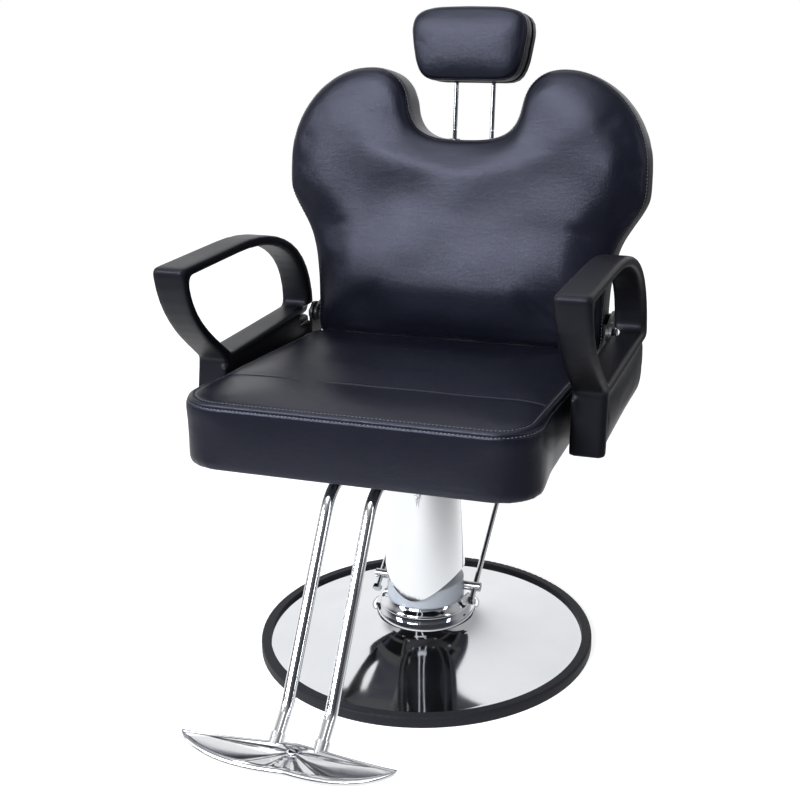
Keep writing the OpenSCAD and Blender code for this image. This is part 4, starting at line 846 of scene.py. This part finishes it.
def sew(bm, places, length, radius, lift):
    """A stitch at each place, laid along the line."""
    for point, along, outward in places:
        side = outward.cross(along).normalized()
        run = side.cross(outward)
        turn = Matrix((run, side, outward)).transposed().to_4x4()
        size = Matrix.Diagonal((length / 2, radius, radius, 1))
        bmesh.ops.create_uvsphere(bm, u_segments=6, v_segments=4, radius=1,
                                  matrix=Matrix.Translation(point + outward * lift) @ turn @ size)


def stitches(name, rows, body, length=STITCH, radius=THREAD_RADIUS):
    """The stitches of some seams as one piece."""
    bm = bmesh.new()
    for row in rows:
        sew(bm, row, length, radius, radius * THREAD_LIFT)
    piece = new_piece(name, mesh_of(name, bm), "upholstery", body, finish="thread")
    piece.data.shade_smooth()
    return piece


# Seat

def seam_height(y):
    """Height of the seat's edge seam at a place from front to rear."""
    share = max(0.0, (y - SEAT_FRONT) / (SEAT_REAR - SEAT_FRONT))
    return SEAT_FOOT + SEAT_FRONT_H - SEAT_FALL * share ** SEAT_FALL_CURVE


def seat_edge(out, rise):
    """The line of the edge seam from the left rear, round the front, to the right rear."""
    half, front, radius = SEAT_HALF + out, SEAT_FRONT - out, SEAT_CORNER + out
    rear = SEAT_REAR - SEAT_CORNER / 2
    corner = [Vector((half - radius + radius * math.sin(math.radians(a)),
                      front + radius - radius * math.cos(math.radians(a)), 0)) for a in CORNER_ANGLES]
    side = [Vector((half, front + radius + (rear - front - radius) * i / SIDE_STEPS, 0))
            for i in range(1, SIDE_STEPS + 1)]
    right = corner + side
    line = [Vector((-p.x, p.y, 0)) for p in reversed(right)] + right
    for point in line:
        point.z = seam_height(point.y) + rise
    return line


def seat_form():
    """The CAD cushion, its foot drawn down round the board's edge and under it."""
    bm = form_of("seat_cushion")
    for vert in bm.verts:
        outward = Vector((vert.normal.x, vert.normal.y, 0)).normalized()
        for height, out, wraps in FOOT_RINGS:
            if vert.co.z < SEAT_FOOT + height:
                vert.co += outward * out
                vert.co.z = SEAT_BOARD_FOOT + SEAT_WRAP * wraps
                break
    return bm


def seat_held(place):
    """1 along the foot and the seams, 0 where the cover is free."""
    if place.z < SEAT_BOARD_FOOT + HELD_FOOT:
        return 1.0
    seam = seam_height(place.y)
    inside = (abs(place.x) < SEAT_HALF - HELD_INSET
              and SEAT_FRONT + HELD_INSET < place.y < SEAT_REAR - HELD_INSET)
    near_cross = abs(place.y - CROSS_SEAM_Y) < HELD_CROSS and place.z > seam - HELD_UNDER
    return 1.0 if near_cross or (abs(place.z - seam) < HELD_SEAM and not inside) else 0.0


def eased(low, high, value):
    """0 at the low value, 1 at the high one, with a smooth change between them."""
    share = min(1.0, max(0.0, (value - low) / (high - low)))
    return share * share * (3 - 2 * share)


def fill_seat(bm):
    """The stuffing fills the front corners ahead of the arms and the rear edge under the back."""
    for vert in bm.verts:
        ahead = eased(*SEAT_AHEAD, -vert.co.y) * eased(*SEAT_BESIDE, abs(vert.co.x))
        vert.co.x += math.copysign(SEAT_FRONT_FILL * ahead, vert.co.x)
        rear = eased(*SEAT_BEHIND, vert.co.y) * eased(*SEAT_UPPER, vert.co.z)
        vert.co += SEAT_REAR_FILL * rear


def tuck_hem(bm):
    """The cover ends in a hem under the board."""
    for vert in bm.verts:
        inset = min(SEAT_HALF - abs(vert.co.x), vert.co.y - SEAT_FRONT, SEAT_REAR - vert.co.y)
        hem = SEAT_HEM + HEM_WAVE * noise.noise(vert.co * HEM_WAVE_SCALE)
        if vert.co.z < SEAT_BOARD_FOOT + HEM_SKIN and inset > hem:
            vert.co.z += min(1.0, (inset - hem) / HEM_RUN) * HEM_RISE


def seat_upholstery(blank):
    bm = subdivided(blank)
    soften(bm, SEAT_UNEVEN, lambda p: eased(*SEAT_CROWN, p.z - seam_height(p.y)))
    fill_seat(bm)
    stitched = [on_surface(bm, even_steps(seat_edge(*SEAT_SEAMS[name][:2]), STITCH_STEP, False))
                for name in ("lower", "upper")]
    pressed = [(tree_of(on_surface(bm, even_steps(seat_edge(out, rise), step, False))), depth, width)
               for out, rise, step, depth, width in SEAT_SEAMS.values()]
    for behind, depth, width in CROSS_SEAMS.values():
        line = [Vector((SEAT_HALF * i / (SIDE_STEPS + 1), CROSS_SEAM_Y + behind, CROSS_SEAM_TOP))
                for i in range(-SIDE_STEPS, SIDE_STEPS + 1)]
        pressed.append((tree_of(on_surface(bm, even_steps(line, LINE_STEP, False))), depth, width))
    divide_near(bm, [tree for tree, _, _ in pressed], SEAT_FINE_REACH)
    for tree, depth, width in pressed:
        press_line(bm, tree, depth, width)
    tuck_hem(bm)
    rows = [on_surface(bm, [(p, along) for p, along, _ in row]) for row in stitched]
    piece = new_piece("seat_upholstery", mesh_of("seat upholstery", bm), "upholstery", "seat", "seat_cushion")
    piece.data.shade_smooth()
    stitches("seat_stitching", rows, "seat")


# Back

def back_local(place):
    return BACK_TURN.inverted() @ place


def deepened(node_name, face, pad_depth, whole_depth):
    """A pad's CAD form in the back's own frame, its side carried on over what is behind the pad."""
    bm = form_of(node_name, BACK_TURN.inverted())
    for vert in bm.verts:
        depth = vert.co.y - face
        if depth > RING_SKIN:
            vert.co.y = face + depth * whole_depth / pad_depth
    return bm


def ring_at(bm, depth):
    """The corners of the form at a depth, in order round it."""
    ring = {vert for vert in bm.verts if abs(vert.co.y - depth) < RING_SKIN}
    outer = {vert for vert in ring
             if any(link.other_vert(vert).co.y > depth + RING_STEP for link in vert.link_edges)}
    vert = min(outer, key=lambda v: (v.co.z, v.co.x))
    order = []
    while vert:
        order.append(vert.co.copy())
        outer.discard(vert)
        near = [e.other_vert(vert) for e in vert.link_edges if e.other_vert(vert) in outer]
        vert = min(near, key=lambda v: (v.co - order[-1]).length) if near else None
    return order


def fill_back(bm):
    """The stuffing fills the lower edge and its two corners."""
    for vert in bm.verts:
        place = back_local(vert.co)
        low = eased(*BACK_LOW, place.z)
        corner = eased(*BACK_SIDE, abs(place.x)) * eased(*BACK_CORNER, place.z)
        place.z -= BACK_LOW_FILL * low + BACK_CORNER_DROP * corner
        place.x += math.copysign(BACK_CORNER_FILL * corner, place.x)
        vert.co = BACK_TURN @ place


def behind_rim(rim, depth):
    """The rim's line, a depth behind the front seam plane."""
    return [BACK_TURN @ (p + Vector((0, depth, 0))) for p in rim]


def pressed_tree(bm, line):
    return tree_of(on_surface(bm, even_steps(line, LINE_STEP, True)))


def back_upholstery(blank, rim):
    bm = subdivided(blank)
    relax(bm, BACK_FACE_RELAX, lambda p: back_local(p).y < BACK_FACE - FACE_SKIN)
    soften(bm, BACK_UNEVEN, lambda p: eased(*BACK_CROWN, back_local(p).y))
    fill_back(bm)
    trees = {"seam": pressed_tree(bm, behind_rim(rim, BACK_SEAM)),
             "rear": pressed_tree(bm, behind_rim(rim, BACK_REAR_SEAM))}
    divide_near(bm, list(trees.values()), FINE_REACH)
    for name, lines in BACK_PRESSED.items():
        for depth, width in lines:
            press_line(bm, trees[name], depth, width)
    row = on_surface(bm, even_steps(behind_rim(rim, BACK_STITCHES), STITCH_STEP, True))
    piece = new_piece("back_upholstery", mesh_of("back upholstery", bm), "upholstery", "back",
                      "back_cushion", "back_rim", "back_panel", "back_board")
    piece.data.shade_smooth()
    stitches("back_stitching", [row], "back")


# Headrest

def head_upholstery(blank, rim):
    bm = subdivided(blank)
    relax(bm, HEAD_FACE_RELAX, lambda p: back_local(p).y < HEAD_FACE - FACE_SKIN)
    tree = pressed_tree(bm, behind_rim(rim, HEAD_SEAM))
    divide_near(bm, [tree], FINE_REACH)
    for depth, width in HEAD_PRESSED:
        press_line(bm, tree, depth, width)
    row = on_surface(bm, even_steps(behind_rim(rim, HEAD_STITCHES), STITCH_STEP * HEAD_SHARE, True))
    piece = new_piece("headrest_upholstery", mesh_of("headrest upholstery", bm), "upholstery", "headrest",
                      "headrest_cushion", "headrest_board")
    piece.data.shade_smooth()
    stitches("headrest_stitching", [row], "headrest", length=HEAD_STITCH, radius=HEAD_THREAD)


# Side panels and moulded arms, made on the left and mirrored

def mirrored_pair(name, bm):
    """The left mesh and the right one, each with its side's name."""
    left = mesh_of("left " + name, bm)
    right = left.copy()
    right.name = "right " + name
    right.transform(Matrix.Diagonal((-1, 1, 1, 1)))
    right.flip_normals()
    return (("left", left), ("right", right))


def side_upholstery(blank):
    for side, mesh in mirrored_pair("side upholstery", subdivided(blank)):
        piece = new_piece("side_upholstery_" + side, mesh, "upholstery", "seat", "side_panel_" + side)
        piece.data.shade_smooth()


def arms():
    """The arms in one rounded skin from the loop to the skirt's foot."""
    bm = even_skin("arm skin", form_of("arm_left"), ARM_VOXEL, 0)
    relax(bm, ARM_RELAX, lambda p: True)
    for side, mesh in mirrored_pair("arm", bm):
        piece = new_piece("arm_skin_" + side, mesh, "arm_foam", "seat", "arm_" + side)
        piece.data.shade_smooth()


# Cast foot plate

def plate_depth(u):
    """From the rear edge to the front one, at a share u from the middle to the wing's tip."""
    return WING_DEPTH * max(0.0, 1 - abs(u) ** WING_BLUNT) ** WING_TAPER + WING_THICK / 4


def plate_flute(u, v):
    """Depth of the leaf-shaped hollows that fan out from the cap, inside a line along the rim."""
    edge = min(v, 1 - v) * plate_depth(u)
    x, y = abs(u) * WING_HALF, (v - CAP_SHARE) * WING_DEPTH
    turn = math.atan2(y, max(x, FLUTE_LEAST_X)) * FLUTES + FLUTE_TWIST * abs(u)
    leaf = abs(math.sin(turn)) ** FLUTE_ROUND * min(1.0, math.hypot(x, y) / FLUTE_START)
    groove = RIM_GROOVE * math.exp(-((edge - RIM_W) / RIM_GROOVE_W) ** 2)
    return FLUTE_DEPTH * leaf * eased(RIM_W, RIM_W * 2, edge) + groove


def plate_place(u, around):
    """A place on the plate: around goes over the top from rear to front and back underneath."""
    over = around < 0.5
    v = 0.5 - 0.5 * math.cos(2 * math.pi * around)
    tip = min(1.0, (1 - abs(u)) / TIP_LENGTH + TIP_SHARE) ** 0.5
    thick = WING_THICK * (1 - abs(u) ** 4 / 2) * tip
    top = WING_TOP + WING_RISE * abs(u) ** WING_LIFT - WING_FALL * v * (1 - u * u)
    half = thick / 2 * math.sqrt(max(0.0, 1 - abs(2 * v - 1) ** EDGE_ROUND))
    z = top - thick / 2 + (half - plate_flute(u, v) if over else -half)
    return Vector((u * WING_HALF, WING_REAR - WING_SWEEP * abs(u) ** WING_BEND - plate_depth(u) * v, z))


def foot_plate():
    """The wave-shaped plate with its rounded rim and leaf ribs, and the sockets of its tubes."""
    bm = bmesh.new()
    bmesh.ops.create_grid(bm, x_segments=PLATE_STEPS[0], y_segments=PLATE_STEPS[1], size=1)
    for vert in bm.verts:
        vert.co = plate_place(math.sin(vert.co.x * math.pi / 2), (vert.co.y + 1) / 2)
    bmesh.ops.remove_doubles(bm, verts=bm.verts, dist=DOUBLES)
    bmesh.ops.holes_fill(bm, edges=[edge for edge in bm.edges if edge.is_boundary], sides=0)
    down = Vector((0, -math.cos(TUBE_SLOPE), -math.sin(TUBE_SLOPE)))
    turn = down.to_track_quat("Z", "Y").to_matrix().to_4x4()
    for x in (-TUBE_X, TUBE_X):
        middle = Vector((x, *TUBE_TIP)) - down * (SOCKET_LENGTH / 2 - SOCKET_PAST_TIP)
        bmesh.ops.create_cone(bm, cap_ends=True, segments=40, radius1=SOCKET_RADIUS,
                              radius2=SOCKET_RADIUS * SOCKET_TAPER, depth=SOCKET_LENGTH,
                              matrix=Matrix.Translation(middle) @ turn)
    bmesh.ops.recalc_face_normals(bm, faces=bm.faces)
    piece = new_piece("foot_plate", mesh_of("foot plate", bm), "polished_aluminium", "seat", "footrest_plate")
    piece.data.shade_smooth()
    piece.modifiers.new("smooth by angle", "NODES").node_group = SMOOTHING


arms()
foot_plate()


# The soft pieces, whose cloth runs together

def blank_of(name, bm):
    blank = bpy.data.objects.new(name, mesh_of(name, bm))
    bpy.context.scene.collection.objects.link(blank)
    return blank


def make_soft_pieces():
    seat = even_skin("seat skin", seat_form(), VOXEL, SHRINK, lambda p: p.z < SEAT_BOARD_FOOT + FOOT_BAND)
    relax(seat, SEAT_RELAX, lambda p: p.z > SEAT_BOARD_FOOT + HELD_FOOT)

    back_source = deepened("back_cushion", BACK_FACE, BACK_PAD_DEPTH, BACK_DEPTH)
    back_rim = ring_at(back_source, BACK_FACE)
    back = even_skin("back skin", back_source, VOXEL * BACK_VOXEL_SHARE, BACK_SHRINK)
    relax(back, BACK_RELAX, lambda p: True)
    relax(back, BACK_FRONT_RELAX, lambda p: p.y < BACK_FACE + FACE_BAND)
    bmesh.ops.transform(back, matrix=BACK_TURN, verts=back.verts)

    head_source = deepened("headrest_cushion", HEAD_FACE, HEAD_PAD_DEPTH, HEAD_WRAP_DEPTH)
    head_rim = ring_at(head_source, HEAD_FACE)
    head = even_skin("headrest skin", head_source, VOXEL * HEAD_VOXEL_SHARE, SHRINK)
    relax(head, HEAD_FRONT_RELAX, lambda p: p.y < HEAD_FACE + FACE_BAND)
    bmesh.ops.transform(head, matrix=BACK_TURN, verts=head.verts)

    panel = even_skin("side skin", form_of("side_panel_left"), VOXEL * PANEL_VOXEL_SHARE, SHRINK)
    relax(panel, PANEL_RELAX, lambda p: True)

    blanks = [blank_of("seat blank", seat), blank_of("back blank", back), blank_of("headrest blank", head),
              blank_of("side blank", panel)]
    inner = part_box("side_panel_left")[0].x + PANEL_HELD
    holds = (seat_held,
             lambda p: float(back_local(p).y > BACK_FACE + HELD_EDGE),
             lambda p: float(back_local(p).y > HEAD_FACE + HELD_EDGE),
             lambda p: float(p.x < inner))
    for blank, held in zip(blanks, holds):
        add_cloth(blank, held, PRESSURE)
    swell(blanks, SWELL_CAP)
    seat_upholstery(blanks[0])
    back_upholstery(blanks[1], back_rim)
    head_upholstery(blanks[2], head_rim)
    side_upholstery(blanks[3])
    for blank in blanks:
        bpy.data.objects.remove(blank)


make_soft_pieces()
